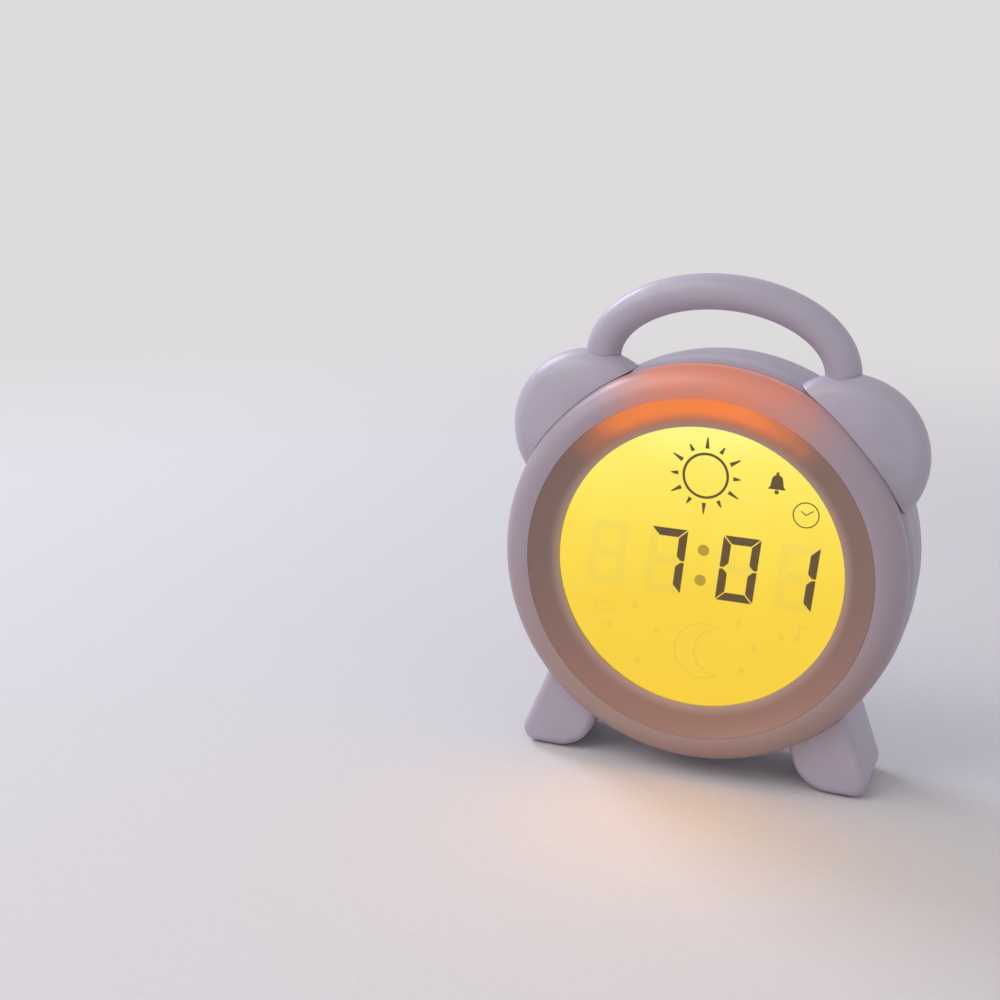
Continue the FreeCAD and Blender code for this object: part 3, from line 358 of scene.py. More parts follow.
def finished_piece(name, shape, material, body):
    """Turn a built shape into a piece that rides on its body and wears its material."""
    bmesh.ops.remove_doubles(shape, verts=shape.verts, dist=1e-7)
    bmesh.ops.recalc_face_normals(shape, faces=shape.faces)
    mesh = bpy.data.meshes.new(name)
    shape.to_mesh(mesh)
    shape.free()
    mesh.materials.append(material)
    piece = bpy.data.objects.new(name, mesh)
    bpy.context.scene.collection.objects.link(piece)
    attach(piece, body)
    return piece


def soft_edges(piece, width, segments=2):
    """Small rounded edges on a piece."""
    modifier = piece.modifiers.new("soft edges", "BEVEL")
    modifier.width = width
    modifier.segments = segments
    modifier.limit_method = "ANGLE"


def carved(piece, cutter):
    """Take one shape out of a piece for good."""
    tool_mesh = bpy.data.meshes.new("cutter")
    bmesh.ops.recalc_face_normals(cutter, faces=cutter.faces)
    cutter.to_mesh(tool_mesh)
    cutter.free()
    tool = bpy.data.objects.new("cutter", tool_mesh)
    bpy.context.scene.collection.objects.link(tool)
    modifier = piece.modifiers.new("cut", "BOOLEAN")
    modifier.object = tool
    modifier.solver = "EXACT"
    bpy.context.view_layer.update()
    evaluated = piece.evaluated_get(bpy.context.evaluated_depsgraph_get())
    result = bpy.data.meshes.new_from_object(evaluated)
    piece.modifiers.clear()
    piece.data = result
    bpy.data.objects.remove(tool)
    bpy.data.meshes.remove(tool_mesh)


# Display marks: places are millimetres from the display's centre, across and up

SEGMENTS_ON = {0: "abcdef", 1: "bc", 2: "abdeg", 3: "abcdg", 4: "bcfg", 5: "acdfg", 6: "acdefg",
               7: "abc", 8: "abcdefg", 9: "abcdfg"}
# The left edge of each digit, and how far the digits' middle lies above the display's
DIGIT_PLACES = (-39.3, -18.4, 7.0, 27.0)
DIGIT_RISE = 1.2
COLON_PLACES = ((1.1, 6.5), (0.6, -4.4))
COLON_RADIUS = 2.0
# Each star's place and radius
STARS = ((-31, -25, 1.7), (-22, -17, 1.9), (-14, -25, 1.5), (-20, -37, 1.9), (15, -18, 1.7),
         (21, -26, 1.9), (30, -21, 1.6), (17, -35, 1.8))


def digit_segments(left, settings):
    """Outlines of the seven segments of one digit, by letter, before the slant."""
    tall, wide, bar = settings.digit_height, settings.digit_width, settings.segment
    gap, corner = 0.28 * MM, 0.3 * MM
    middle = tall / 2
    notch = bar * 0.45
    upper_right = [(wide, tall - gap), (wide, middle + gap), (wide - notch, middle + gap),
                   (wide - bar, middle + gap + bar - notch), (wide - bar, tall - bar - gap)]
    top = [(gap, tall), (wide - gap, tall), (wide - bar - gap, tall - bar), (bar + gap, tall - bar)]
    bridge = [(notch + gap, middle), (bar, middle + bar / 2), (wide - bar, middle + bar / 2),
              (wide - notch - gap, middle), (wide - bar, middle - bar / 2), (bar, middle - bar / 2)]
    shapes = {
        "a": top,
        "b": upper_right,
        "c": [(x, tall - z) for x, z in upper_right],
        "d": [(x, tall - z) for x, z in top],
        "e": [(wide - x, tall - z) for x, z in upper_right],
        "f": [(wide - x, z) for x, z in upper_right],
        "g": bridge,
    }
    lean = math.tan(settings.slant)
    foot = DIGIT_RISE * MM - middle
    return {
        letter: softened([(left + x + (z - middle) * lean, z + foot) for x, z in outline], corner)
        for letter, outline in shapes.items()
    }


def on_display(outlines):
    """Move outlines from the display's centre to the row frame."""
    return [[(x + CENTRE.x, z + CENTRE.z) for x, z in outline] for outline in outlines]


def star(x, height, radius):
    """Five-pointed star."""
    points = []
    for i in range(10):
        reach = radius * (1 if i % 2 else 0.42)
        turn = math.tau * i / 10
        points.append((x + reach * math.sin(turn), height - reach * math.cos(turn)))
    return points


def sun_marks():
    """Plain ring with twelve short tapered rays."""
    x, height, radius, line = 0.2 * MM, 32.8 * MM, 7.6 * MM, 0.9 * MM
    ray_start, long_ray, short_ray = 9.5 * MM, 13.4 * MM, 12.0 * MM
    half_root, half_tip = 0.75 * MM, 0.2 * MM
    rays = 12
    middle = Vector((x, height))
    outlines = stroked(circle(x, height, radius, 64), line, closed=True)
    for i in range(rays):
        turn = math.tau * i / rays
        along = Vector((math.cos(turn), math.sin(turn)))
        across = Vector((-along.y, along.x))
        root = middle + along * ray_start
        tip = middle + along * (long_ray if i % 2 else short_ray)
        outlines.append([tuple(root + across * half_root), tuple(root - across * half_root),
                         tuple(tip - across * half_tip), tuple(tip + across * half_tip)])
    return outlines


def bell_marks():
    """Small upright bell with a clapper."""
    x, height = 24.6 * MM, 32.6 * MM
    dome = circle(x, height + 1.6 * MM, 1.9 * MM, 12, turn=math.pi)
    flare = [(x - 2.3 * MM, height - 0.6 * MM), (x - 3.1 * MM, height - 1.6 * MM),
             (x + 3.1 * MM, height - 1.6 * MM), (x + 2.3 * MM, height - 0.6 * MM)]
    return [dome + flare, circle(x, height - 2.5 * MM, 0.75 * MM, 20),
            circle(x, height + 3.9 * MM, 0.55 * MM, 16)]


def dial_marks():
    """Small round clock face with two hands."""
    x, height, radius = 35.0 * MM, 23.4 * MM, 4.3 * MM
    outlines = stroked(circle(x, height, radius, 48), 0.4 * MM, closed=True)
    hands = [(x - 1.7 * MM, height + 1.2 * MM), (x, height), (x + 2.4 * MM, height + 1.7 * MM)]
    return outlines + stroked(hands, 0.36 * MM)


def night_marks():
    """Crescent, stars, a cell and a note that are switched off."""
    x, height, moon_line, line = 3.0 * MM, -30.0 * MM, 0.6 * MM, 0.5 * MM
    outer = circle(x, height, 10.0 * MM, 40, math.radians(60), math.radians(240))
    inner = circle(x + 5.4 * MM, height, 8.4 * MM, 32, math.radians(-107), math.radians(-146))
    outlines = stroked(outer + inner, moon_line)
    outlines += [star(across * MM, up * MM, radius * MM) for across, up, radius in STARS]
    cell = in_mm((-36.5, -17.0), (-29.5, -17.0), (-29.5, -20.2), (-36.5, -20.2))
    outlines += stroked(cell, line, closed=True)
    outlines += stroked(in_mm((36.0, -20.4), (36.0, -16.2), (38.2, -15.6)), line)
    outlines.append(circle(35.1 * MM, -20.4 * MM, 1.0 * MM, 20))
    return outlines


def mark_piece(name, outlines, material):
    """Marks of the display, as thin plates just in front of its face."""
    shape = bmesh.new()
    front = LCD_FACE - MARK_GAP
    for outline in on_display(outlines):
        add_slab(shape, outline, front, front + MARK_DEPTH)
    return finished_piece(name, shape, material, "clock")


def amber_light(tree, place, amber, times):
    """Backlight through the display: pale near the top, deeper below, with faint clouds."""
    cloud_size = 26.0 * MM
    parts = add(tree, "SeparateXYZ", place).node.outputs
    cloud = add(tree, "TexNoise", place, Scale=1 / cloud_size, Detail=1.5)
    cloud = add(tree, "MapRange", cloud, 0.0, 1.0, -0.15, 0.15)
    climb = add(tree, "MapRange", parts["Z"], CENTRE.z - 48 * MM, CENTRE.z + 50 * MM)
    climb = add(tree, "Math", climb, cloud, operation="ADD")
    stops = [(0.0, linear("#F0CB36")), (0.35, amber), (0.62, linear("#F5DA4A")),
             (0.85, linear("#FAE663")), (1.0, linear("#F6F383"))]
    return add(tree, "ValToRGB", climb, stops=[(at, toned(colour, times)) for at, colour in stops])


def lit_mark(name, colour, strength):
    """Mark of the display, in the colour that it leaves of the light behind it."""
    cell = 0.5 * MM
    weaker, stronger = toned(colour, 0.98), toned(colour, 1.02)
    material, tree, shader, place = new_finish(name, Emission_Strength=strength, Roughness=0.35)
    cells = add(tree, "TexNoise", place, Scale=1 / cell)
    tint = add(tree, "ValToRGB", cells, stops=[(0.3, weaker), (0.7, stronger)])
    tree.links.new(tint, shader.inputs["Emission Color"])
    dim = add(tree, "Mix", 0.92, tint, (0.0, 0.0, 0.0, 1.0), data_type="RGBA")
    tree.links.new(dim, shader.inputs["Base Color"])
    return material


def lit_glass(name, amber, times, strength):
    """Display glass that shows the amber light, times as bright as the display itself."""
    material, tree, shader, place = new_finish(name, Emission_Strength=strength, Roughness=0.3)
    light = amber_light(tree, place, amber, times)
    tree.links.new(light, shader.inputs["Emission Color"])
    dim = add(tree, "Mix", 0.94, light, (0.0, 0.0, 0.0, 1.0), data_type="RGBA")
    tree.links.new(dim, shader.inputs["Base Color"])
    return material


# Operators


class CLOCK_OT_case(bpy.types.Operator):
    """Satin lilac plastic for the drum, rear cover, bells, handle, feet and battery door"""

    bl_idname = "alarm_clock.case"
    bl_label = "Case"

    def execute(self, context):
        settings = context.scene.clock_case
        plastic = tuple(settings.plastic)
        # ABS moulded in a satin tool: a soft broad sheen that turns bright along the round edges
        shaped = moulded_plastic("satin ABS moulding", plastic, settings.roughness, coat=0.12)
        for node in ("right_bell", "left_bell", "carry_handle", "right_foot", "left_foot"):
            wear(node, shaped)
        # ABS from a tool with a coarser spark-eroded grain: duller, and just rough in raking light
        textured = moulded_plastic("spark grained ABS moulding", toned(plastic, 0.97),
                                   settings.roughness + 0.06, grain=0.6, depth=0.03)
        for node in ("housing_drum", "rear_cover", "battery_door"):
            wear(node, textured)
        # Moulded rubber: no shine at all, so the soles read as soft
        rubber = moulded_plastic("moulded sole rubber", toned(plastic, 0.9), 0.85,
                                 grain=0.8, depth=0.05)
        for node in ("right_sole", "left_sole"):
            wear(node, rubber)
        return {"FINISHED"}


class CLOCK_OT_rim(bpy.types.Operator):
    """Milky rim and cone that glow salmon above and mauve at the sides"""

    bl_idname = "alarm_clock.rim"
    bl_label = "Glowing rim"

    def execute(self, context):
        settings = context.scene.clock_rim
        milk, glow, ember = tuple(settings.milk), tuple(settings.glow), tuple(settings.ember)
        # Milky polycarbonate, moulded, with the light of the night light inside painted on, in the
        # base
        # colour and as emission: mauve where the light is weak, salmon where the night light stands
        # behind the rim and orange where the rim meets the cone
        cloud_size, patch, grain, grain_depth = 14.0 * MM, 5.0 * MM, 0.4 * MM, 0.01 * MM
        for node, name in (("front_shell", "milky polycarbonate rim"),
                           ("bezel_ring", "milky polycarbonate cone")):
            material, tree, shader, place = new_finish(
                name, IOR=1.58, Emission_Strength=settings.strength)
            from_centre = add(tree, "VectorMath", place, tuple(CENTRE), operation="SUBTRACT")
            parts = add(tree, "SeparateXYZ", from_centre).node.outputs
            flat = add(tree, "CombineXYZ", parts["X"], 0.0, parts["Z"])
            reach = add(tree, "VectorMath", flat, operation="LENGTH")
            # How far this place lies towards the night light, as a cosine
            toward = (0.05, 0.0, 0.999) if node == "front_shell" else (-0.1, 0.0, 0.995)
            upward = add(tree, "VectorMath", flat, toward, operation="DOT_PRODUCT")
            upward = add(tree, "Math", upward, reach, operation="DIVIDE")
            cloud = add(tree, "TexNoise", place, Scale=1 / cloud_size)
            cloud = add(tree, "MapRange", cloud, 0.0, 1.0, -0.09, 0.09)
            patchy = add(tree, "Math", upward, cloud, operation="ADD")
            low = add(tree, "MapRange", patchy, 0.1, -0.9, interpolation_type="SMOOTHSTEP")
            if node == "front_shell":
                above = add(tree, "MapRange", patchy, 0.72, 1.06, interpolation_type="SMOOTHSTEP")
                body = add(tree, "Mix", low, milk, linear("#A48A84"), data_type="RGBA")
                body = add(tree, "Mix", above, body, glow, data_type="RGBA")
                light = add(tree, "Mix", above, toned(glow, 0.05), glow, data_type="RGBA")
            else:
                above = add(tree, "MapRange", patchy, 0.66, 1.0, interpolation_type="SMOOTHSTEP")
                # The cone's painted glow grows outward to the joint line, and the display's painted
                # spill of light inward
                joint_from, joint_to = RIM_RADIUS - 10.8 * MM, RIM_RADIUS - 3.4 * MM
                spill_from, spill_to = RIM_RADIUS - 6.5 * MM, RIM_RADIUS - 10.6 * MM
                near_joint = add(tree, "MapRange", reach, joint_from, joint_to,
                                 interpolation_type="SMOOTHSTEP")
                band = add(tree, "Math", near_joint, above, operation="MULTIPLY")
                near_display = add(tree, "MapRange", reach, spill_from, spill_to,
                                   interpolation_type="SMOOTHSTEP")
                body = add(tree, "Mix", low, linear("#856C64"), linear("#947167"),
                           data_type="RGBA")
                body = add(tree, "Mix", near_display, body, linear("#A28A82"), data_type="RGBA")
                body = add(tree, "Mix", band, body, ember, data_type="RGBA")
                light = add(tree, "Mix", band, toned(linear("#B5714F"), 0.1), ember,
                            data_type="RGBA")
                spill = add(tree, "Math", near_display, 0.35, operation="MULTIPLY")
                light = add(tree, "Mix", spill, light, linear("#A88050"), data_type="RGBA")
            # The painted glow and spill go into the base colour as well as into the emission
            tree.links.new(body, shader.inputs["Base Color"])
            tree.links.new(light, shader.inputs["Emission Color"])
            gloss = add(tree, "TexNoise", place, Scale=1 / patch, Detail=3.0)
            gloss = add(tree, "MapRange", gloss, 0.2, 0.8, 0.36, 0.43)
            tree.links.new(gloss, shader.inputs["Roughness"])
            pits = add(tree, "TexNoise", place, Scale=1 / grain)
            relief = add(tree, "Bump", 0.5, grain_depth, Height=pits)
            tree.links.new(relief, shader.inputs["Normal"])
            wear(node, material)
        return {"FINISHED"}


class CLOCK_OT_display(bpy.types.Operator):
    """Amber display, its clear window and the marks on it"""

    bl_idname = "alarm_clock.display"
    bl_label = "Display"

    def execute(self, context):
        settings = context.scene.clock_display
        amber = tuple(settings.amber)
        # Display glass lit from behind: an even amber glow that pales towards the lamp above it
        wear("lcd_panel", lit_glass("backlit display glass", amber, 1.0, settings.strength))

        # Cast acrylic, polished: quite clear, seen only by a weak shine with a faint smear in it
        smear_size = 30.0 * MM
        window, tree, shader, place = new_finish(
            "polished acrylic window", IOR=1.49, Transmission_Weight=1.0,
            Base_Color=linear("#FFFEF8"))
        smear = add(tree, "TexNoise", place, Scale=1 / smear_size, Detail=3.0)
        smear = add(tree, "MapRange", smear, 0.3, 0.8, 0.01, 0.05)
        tree.links.new(smear, shader.inputs["Roughness"])
        wear("display_window", window)

        # Segments switched on stop nearly all of the light, the colon's dots half of it, and those
        # switched off so little that they show as a faint shade, the fine lines a little more
        line_loss = 0.05
        ink = lit_mark("display segment switched on", tuple(settings.ink), settings.strength)
        colon_ink = lit_mark("display dot half on", tuple(settings.colon), settings.strength)
        pale_ink = lit_glass("display segment switched off", amber, settings.faint,
                             settings.strength)
        pale_line = lit_glass("fine display line switched off", amber,
                              settings.faint - line_loss, settings.strength)
        tens, ones = divmod(settings.minutes, 10)
        shown = (None, settings.hours, tens, ones)
        dark, pale = [], []
        for left, number in zip(DIGIT_PLACES, shown):
            lit = SEGMENTS_ON.get(number, "")
            for letter, outline in digit_segments(left * MM, settings).items():
                (dark if letter in lit else pale).append(outline)
        mark_piece("time_segments", dark, ink)
        mark_piece("unlit_segments", pale, pale_ink)
        dots = [circle(x * MM, z * MM, COLON_RADIUS * MM, 32) for x, z in COLON_PLACES]
        mark_piece("colon_dots", dots, colon_ink)
        mark_piece("sun_mark", sun_marks(), ink)
        mark_piece("bell_mark", bell_marks(), ink)
        mark_piece("dial_mark", dial_marks(), ink)
        mark_piece("night_marks", night_marks(), pale_line)
        return {"FINISHED"}


class CLOCK_OT_keys(bpy.types.Operator):
    """Rear keys, their raised marks and the slide switch"""

    bl_idname = "alarm_clock.keys"
    bl_label = "Keys and switch"

    def execute(self, context):
        settings = context.scene.clock_case
        # ABS keys: the case's plastic in a darker grey lilac, a little glossier from being touched
        cap = moulded_plastic("ABS key cap", tuple(settings.button), 0.4, grain=0.4)
        # ABS marks of a second pale shot: they stand out from the key by colour and by a fine edge
        mark = moulded_plastic("two-shot ABS mark", tuple(settings.mark), 0.5, grain=0.3)
        mark_height = 0.16 * MM
        for key in ("plus", "minus", "alarm", "set", "light"):
            wear(f"{key}_button", cap)
            low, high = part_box(f"{key}_button")
            middle = (low + high) / 2
            shape = bmesh.new()
            for outline in self.outlines(key):
                placed = [(middle.x - x, middle.z + z) for x, z in outline]
                add_slab(shape, placed, high.y - MARK_ROOT, high.y + mark_height)
            piece = finished_piece(f"{key}_mark", shape, mark, f"{key}_key")
            soft_edges(piece, 0.05 * MM)

        # Four upright ridges under the thumb on the slide switch
        ridge_pitch, half_ridge, half_length, ridge_height = 0.9 * MM, 0.2 * MM, 1.3 * MM, 0.3 * MM
        wear("switch_knob", cap)
        low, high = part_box("switch_knob")
        middle = (low + high) / 2
        shape = bmesh.new()
        for step in (-1.5, -0.5, 0.5, 1.5):
            bar = box_outline(middle.x + step * ridge_pitch, middle.z, half_ridge, half_length)
            add_slab(shape, bar, high.y - MARK_ROOT, high.y + ridge_height)
        piece = finished_piece("knob_ridges", shape, cap, "mode_switch")
        soft_edges(piece, 0.1 * MM)
        return {"FINISHED"}

    @staticmethod
    def outlines(key):
        """Raised mark of a key, as outlines round the key's middle."""
        size = 1.9 * MM
        bar = 0.42 * MM
        level = box_outline(0.0, 0.0, size, bar)
        if key == "minus":
            return [level]
        if key == "plus":
            upper = [(-bar, bar), (bar, bar), (bar, size), (-bar, size)]
            return [level, upper, [(x, -z) for x, z in reversed(upper)]]
        if key == "alarm":
            dome = circle(0.0, 0.5 * MM, 1.3 * MM, 10, turn=math.pi)
            return [dome + in_mm((-2.0, -1.0), (2.0, -1.0)), circle(0.0, -1.6 * MM, 0.5 * MM, 16)]
        if key == "set":
            ring = stroked(circle(0.0, 0.0, 1.6 * MM, 32), 0.5 * MM, closed=True)
            return ring + [circle(0.0, 0.0, 0.55 * MM, 16)]
        rays = []
        for i in range(8):
            turn = math.tau * i / 8
            along = Vector((math.cos(turn), math.sin(turn)))
            rays += stroked([tuple(along * 1.5 * MM), tuple(along * 2.2 * MM)], 0.36 * MM)
        return rays + [circle(0.0, 0.0, 0.95 * MM, 24)]


class CLOCK_OT_fixings(bpy.types.Operator):
    """Cross-head screws of the rear cover and the grip on the battery door"""

    bl_idname = "alarm_clock.fixings"
    bl_label = "Rear screws and door grip"

    def execute(self, context):
        # Zinc-plated steel: a cool bright glint with fine turning lines
        zinc = plated_steel("zinc-plated screw steel", linear("#B9BBC0"), 0.3)
        for node in ("front_shell_screws", "led_board_screws", "bell_screws", "foot_screws",
                     "main_board_screws"):
            wear(node, zinc)
        low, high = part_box("rear_cover_screws")
        head, head_tall, shank = 2.6 * MM, 1.8 * MM, 1.4 * MM
        point, pitch, half_cross, half_slot = 2.2 * MM, 0.6 * MM, 1.45 * MM, 0.38 * MM
        ring = high.x - head
        seat, top = high.y - head_tall, high.y
        thread_end, neck, recess = seat - 1.6 * MM, seat - 0.9 * MM, seat + 0.5 * MM
        for index, (turn_x, turn_z) in enumerate(((1, 0), (0, 1), (-1, 0), (0, -1))):
            centre = (CENTRE.x + ring * turn_x, CENTRE.z + ring * turn_z)
            shape = bmesh.new()
            depth = low.y + point
            profile = [(0.0, low.y), (shank * 0.5, low.y), (shank * 0.94, depth)]
            while depth < thread_end:
                profile += [(shank * 0.78, depth + pitch / 2), (shank, depth + pitch)]
                depth += pitch
            profile += [(shank * 0.8, neck), (shank * 0.8, seat), (head * 0.96, seat),
                        (head, seat + 0.15 * MM), (head, seat + head_tall * 0.55),
                        (head * 0.86, seat + head_tall * 0.86),
                        (head * 0.55, seat + head_tall * 0.98), (0.0, top)]
            add_turned(shape, profile, centre)
            screw = finished_piece(f"cover_screw_{index + 1}", shape, zinc, "clock")
            for half_width, half_height in ((half_cross, half_slot), (half_slot, half_cross)):
                cutter = bmesh.new()
                add_slab(cutter, box_outline(*centre, half_width, half_height), recess, top + MM)
                carved(screw, cutter)
            screw.data.shade_smooth()
            modifier = screw.modifiers.new("crisp edges", "EDGE_SPLIT")
            modifier.split_angle = math.radians(35)
            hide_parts("rear_cover_screws")

        # Five ridges for the thumb near the door's upper edge, the middle one the longest
        top_gap, row_pitch, half_length, taper = 4.0 * MM, 1.7 * MM, 9.5 * MM, 0.9 * MM
        half_ridge, ridge_root, ridge_height = 0.4 * MM, 0.05 * MM, 0.45 * MM
        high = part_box("battery_door")[1]
        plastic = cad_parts["battery_door"].material_slots[0].material
        shape = bmesh.new()
        for row in range(5):
            half = half_length - taper * abs(row - 2)
            bar = box_outline(0.0, high.z - top_gap - row_pitch * row, half, half_ridge)
            ridge = softened(bar, 0.39 * MM, 4)
            add_slab(shape, ridge, high.y - ridge_root, high.y + ridge_height)
        piece = finished_piece("door_grip", shape, plastic, "door")
        soft_edges(piece, 0.18 * MM, 3)
        return {"FINISHED"}


class CLOCK_OT_inside(bpy.types.Operator):
    """Boards, cells, speaker and wiring inside the case"""

    bl_idname = "alarm_clock.inside"
    bl_label = "Inside"

    def execute(self, context):
        # Opal polystyrene: matt white, so that it spreads the light of the LEDs
        white = moulded_plastic("opal polystyrene", linear("#EDEDEA"), 0.45)
        for node in ("diffuser_plate", "display_holder"):
            wear(node, white)
        # Black ABS: deep and lightly glossy, as small moulded parts are
        black = moulded_plastic("black ABS moulding", linear("#202023"), 0.38)
        for node in ("clock_chip", "key_switches", "slide_switch", "battery_tray", "speaker_frame",
                     "plus_plunger", "minus_plunger", "alarm_plunger", "set_plunger",
                     "light_plunger"):
            wear(node, black)
        # Epoxy over phosphor: a pale yellow with a wet shine
        epoxy = moulded_plastic("LED epoxy", linear("#F5EBC2"), 0.2, coat=0.6)
        for node in ("backlight_leds", "night_light_leds"):
            wear(node, epoxy)
        # Nylon: off-white and waxy
        wear("ribbon_sockets", moulded_plastic("nylon socket", linear("#E2DFD4"), 0.5))
        # Nickel-plated spring steel: warm, smooth and bright
        nickel = plated_steel("nickel-plated spring steel", linear("#C9C7BF"), 0.25)
        for node in ("battery_contacts", "battery_springs"):
            wear(node, nickel)
        # Plated iron pot of the magnet: a darker and duller metal
        wear("speaker_magnet", plated_steel("plated iron pot", linear("#8C8D92"), 0.35))

        # Solder mask over copper: glossy green with fine lighter tracks. The real ones are too fine
        # to show, so they are drawn in rows 1 mm apart, a quarter of this scale.
        track_scale, track_width = 4.2 * MM, 0.012
        board, tree, shader, place = new_finish("solder mask over copper", Roughness=0.32)
        tracks = add(tree, "TexBrick", place, Scale=1 / track_scale, Mortar_Size=track_width,
                     Color1=linear("#1F6B3C"), Color2=linear("#236F41"), Mortar=linear("#3C8A54"))
        tree.links.new(tracks, shader.inputs["Base Color"])
        relief = add(tree, "Bump", 0.4, 0.03 * MM, Height=tracks.node.outputs["Fac"])
        tree.links.new(relief, shader.inputs["Normal"])
        for node in ("led_board", "main_board"):
            wear(node, board)

        # Printed film shrunk round a cell: a plain blue gloss with light scuffs
        scuff = 4.0 * MM
        jacket, tree, shader, place = new_finish("shrunk film cell jacket", Roughness=0.3)
        scuffs = add(tree, "TexNoise", place, Scale=1 / scuff, Detail=5.0)
        tint = add(tree, "ValToRGB", scuffs,
                   stops=[(0.3, linear("#234B7C")), (0.7, linear("#2C5A92"))])
        tree.links.new(tint, shader.inputs["Base Color"])
        tree.links.new(add(tree, "Bump", 0.3, 0.02 * MM, Height=scuffs), shader.inputs["Normal"])
        for node in ("battery_upper", "battery_middle", "battery_lower"):
            wear(node, jacket)

        # Pressed paper: matt charcoal with short fibres
        fibre = 0.9 * MM
        paper, tree, shader, place = new_finish("pressed paper cone", Roughness=0.8)
        fibres = add(tree, "TexNoise", place, Scale=1 / fibre, Detail=6.0, Roughness=0.7)
        tint = add(tree, "ValToRGB", fibres,
                   stops=[(0.35, linear("#2B2B2E")), (0.7, linear("#3B3B3F"))])
        tree.links.new(tint, shader.inputs["Base Color"])
        tree.links.new(add(tree, "Bump", 0.6, 0.08 * MM, Height=fibres), shader.inputs["Normal"])
        wear("speaker_cone", paper)

        # Extruded PVC: a smooth red with a thin line of shine along each wire
        red = moulded_plastic("PVC wire insulation", linear("#B3322B"), 0.35, coat=0.2)
        for node in ("battery_wires", "speaker_wires"):
            wear(node, red)

        # Extruded PVC ribbon: pale, with a rib for each of its conductors and painted shade in the
        # grooves between them. A wave texture has 20 / tau waves to a unit of scale.
        conductor_pitch = 1.27 * MM
        ribbon, tree, shader, place = new_finish("extruded PVC ribbon", Roughness=0.45)
        ribs = add(tree, "TexWave", place, wave_type="BANDS", bands_direction="X",
                   Scale=math.tau / (20 * conductor_pitch), out="Fac")
        tint = add(tree, "ValToRGB", ribs,
                   stops=[(0.1, linear("#B9B9B4")), (0.6, linear("#D8D8D3"))])
        tree.links.new(tint, shader.inputs["Base Color"])
        tree.links.new(add(tree, "Bump", 0.6, 0.2 * MM, Height=ribs), shader.inputs["Normal"])
        wear("ribbon_cable", ribbon)
        return {"FINISHED"}


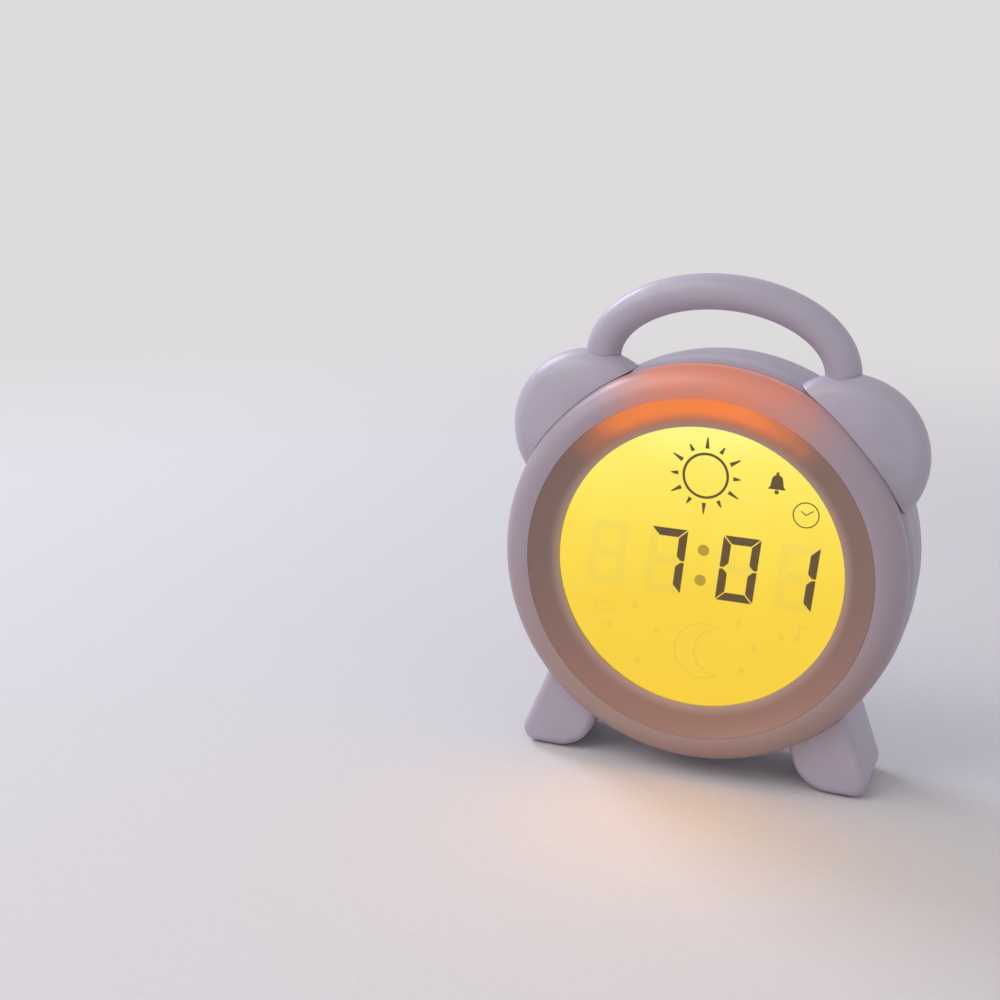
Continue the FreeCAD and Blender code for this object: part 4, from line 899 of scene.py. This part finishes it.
class CLOCK_OT_stage(bpy.types.Operator):
    """Pale floor, soft lamps and the camera"""

    bl_idname = "alarm_clock.stage"
    bl_label = "Stage"

    def execute(self, context):
        settings = context.scene.clock_stage
        scene = context.scene
        self.make_floor(settings)
        self.make_sky(scene, settings)
        self.make_lamp("key lamp", (-0.95, -0.85, 1.25), LAMP_TARGET, 1.3, settings.key, "#FFFDFB")
        self.make_lamp("fill lamp", (1.25, -0.75, 0.7), LAMP_TARGET, 1.2, settings.fill, "#FBFAFF")
        self.make_lamp("rim lamp", (-1.15, 0.6, 0.95), LAMP_TARGET, 0.55, settings.rim, "#E4EAFF")
        # A disk just in front of the display throws its warm light forward onto the floor
        glow_place = (0.0, CENTRE.y - 12 * MM, CENTRE.z)
        glow = self.make_lamp("display light", glow_place, Vector((0.0, -0.4, -0.05)), 0.08,
                              settings.display_glow, "#FFA52E")
        glow.data.shape = "DISK"
        self.make_camera(scene, settings)
        scene.view_settings.view_transform = "Standard"
        return {"FINISHED"}

    @staticmethod
    def make_floor(settings):
        """Round floor whose outer part fades into the backdrop's colour."""
        radii = (0.12, 0.25, 0.45, 0.8, 1.4, 2.4, 4.0, 7.0, 12.0)
        fade_from, fade_to = 0.28, 0.85
        count = 72
        shape = bmesh.new()
        loops = [[shape.verts.new((0.0, 0.0, 0.0))]]
        for radius in radii:
            loops.append([shape.verts.new((x, y, 0.0)) for x, y in circle(0.0, 0.0, radius, count)])
        for inner, outer in zip(loops, loops[1:]):
            for i in range(count):
                after = (i + 1) % count
                corners = [inner[i % len(inner)], outer[i], outer[after], inner[after % len(inner)]]
                shape.faces.new(list(dict.fromkeys(corners)))
        mesh = bpy.data.meshes.new("floor")
        shape.to_mesh(mesh)
        shape.free()
        floor = bpy.data.objects.new("floor", mesh)
        bpy.context.scene.collection.objects.link(floor)

        # Painted board: pale and matt, with a mottle so faint that it only keeps it from looking
        # flat. Far out it gives way to the backdrop's colour, in what is seen or mirrored and not
        # in its light.
        pale, mottle_size = tuple(settings.floor), 3.0 * MM
        material, tree, shader, place = new_finish(
            "matt painted board", Roughness=0.9, Specular_IOR_Level=0.15)
        mottle = add(tree, "TexNoise", place, Scale=1 / mottle_size, Detail=3.0)
        tint = add(tree, "ValToRGB", mottle,
                   stops=[(0.35, toned(pale, 0.985)), (0.65, toned(pale, 1.01))])
        tree.links.new(tint, shader.inputs["Base Color"])
        length = add(tree, "VectorMath", place, operation="LENGTH")
        far = add(tree, "MapRange", length, fade_from, fade_to, interpolation_type="SMOOTHSTEP")
        far = add(tree, "Math", far, seen_rays(tree), operation="MULTIPLY")
        backdrop = add(tree, "Emission", tuple(settings.backdrop), 1.0)
        mixed = add(tree, "MixShader", far, shader.outputs["BSDF"], backdrop)
        tree.links.new(mixed, tree.nodes["Material Output"].inputs["Surface"])
        mesh.materials.append(material)

    @staticmethod
    def make_sky(scene, settings):
        """Even soft light, shown as the backdrop's colour."""
        world = bpy.data.worlds.new("soft studio")
        world.use_nodes = True
        scene.world = world
        tree = world.node_tree
        light = tree.nodes["Background"]
        light.inputs["Color"].default_value = linear("#F4F3F6")
        light.inputs["Strength"].default_value = SKY_STRENGTH
        shown = add(tree, "Background", tuple(settings.backdrop), 1.0)
        mixed = add(tree, "MixShader", seen_rays(tree), light.outputs["Background"], shown)
        tree.links.new(mixed, tree.nodes["World Output"].inputs["Surface"])

    @staticmethod
    def make_lamp(name, place, target, size, power, colour):
        """Square soft lamp that faces a point."""
        lamp = bpy.data.lights.new(name, "AREA")
        lamp.size = size
        lamp.energy = power
        lamp.color = linear(colour)[:3]
        item = bpy.data.objects.new(name, lamp)
        item.location = place
        item.rotation_euler = (target - Vector(place)).to_track_quat("-Z", "Y").to_euler()
        item.visible_camera = False
        bpy.context.scene.collection.objects.link(item)
        return item

    @staticmethod
    def make_camera(scene, settings):
        """Camera at the photograph's viewing angle."""
        backward = Vector((math.sin(CAMERA_TURN) * math.cos(CAMERA_RISE),
                           -math.cos(CAMERA_TURN) * math.cos(CAMERA_RISE), math.sin(CAMERA_RISE)))
        level = Vector((math.cos(CAMERA_TURN), math.sin(CAMERA_TURN), 0.0))
        upright = level.cross(-backward)
        right = level * math.cos(CAMERA_ROLL) + upright * math.sin(CAMERA_ROLL)
        up = upright * math.cos(CAMERA_ROLL) - level * math.sin(CAMERA_ROLL)
        camera = bpy.data.cameras.new("camera")
        camera.lens = settings.lens
        camera.sensor_width = SENSOR_WIDTH
        item = bpy.data.objects.new("camera", camera)
        turn = Matrix((right, up, backward)).transposed().to_4x4()
        item.matrix_world = Matrix.Translation(CAMERA_PLACE) @ turn
        scene.collection.objects.link(item)
        scene.camera = item


PIECES = (CLOCK_OT_case, CLOCK_OT_rim, CLOCK_OT_display, CLOCK_OT_keys, CLOCK_OT_fixings,
          CLOCK_OT_inside, CLOCK_OT_stage)
SETTINGS = (("clock_case", ClockCaseSettings), ("clock_rim", ClockRimSettings),
            ("clock_display", ClockDisplaySettings), ("clock_stage", ClockStageSettings))


class CLOCK_PT_pieces(bpy.types.Panel):
    """Pieces of the alarm clock"""

    bl_idname = "CLOCK_PT_pieces"
    bl_label = "Alarm clock"
    bl_space_type = "VIEW_3D"
    bl_region_type = "UI"
    bl_category = "Alarm clock"

    def draw(self, context):
        for name, group in SETTINGS:
            box = self.layout.box()
            for field in group.__annotations__:
                box.prop(getattr(context.scene, name), field)
        for piece in PIECES:
            self.layout.operator(piece.bl_idname)


def register():
    for name, group in SETTINGS:
        bpy.utils.register_class(group)
        setattr(bpy.types.Scene, name, PointerProperty(type=group))
    for item in PIECES + (CLOCK_PT_pieces,):
        bpy.utils.register_class(item)


def unregister():
    for item in reversed(PIECES + (CLOCK_PT_pieces,)):
        bpy.utils.unregister_class(item)
    for name, group in reversed(SETTINGS):
        delattr(bpy.types.Scene, name)
        bpy.utils.unregister_class(group)


def main():
    register()
    for piece in PIECES:
        group, action = piece.bl_idname.split(".")
        getattr(getattr(bpy.ops, group), action)()


if __name__ == "__main__":
    main()
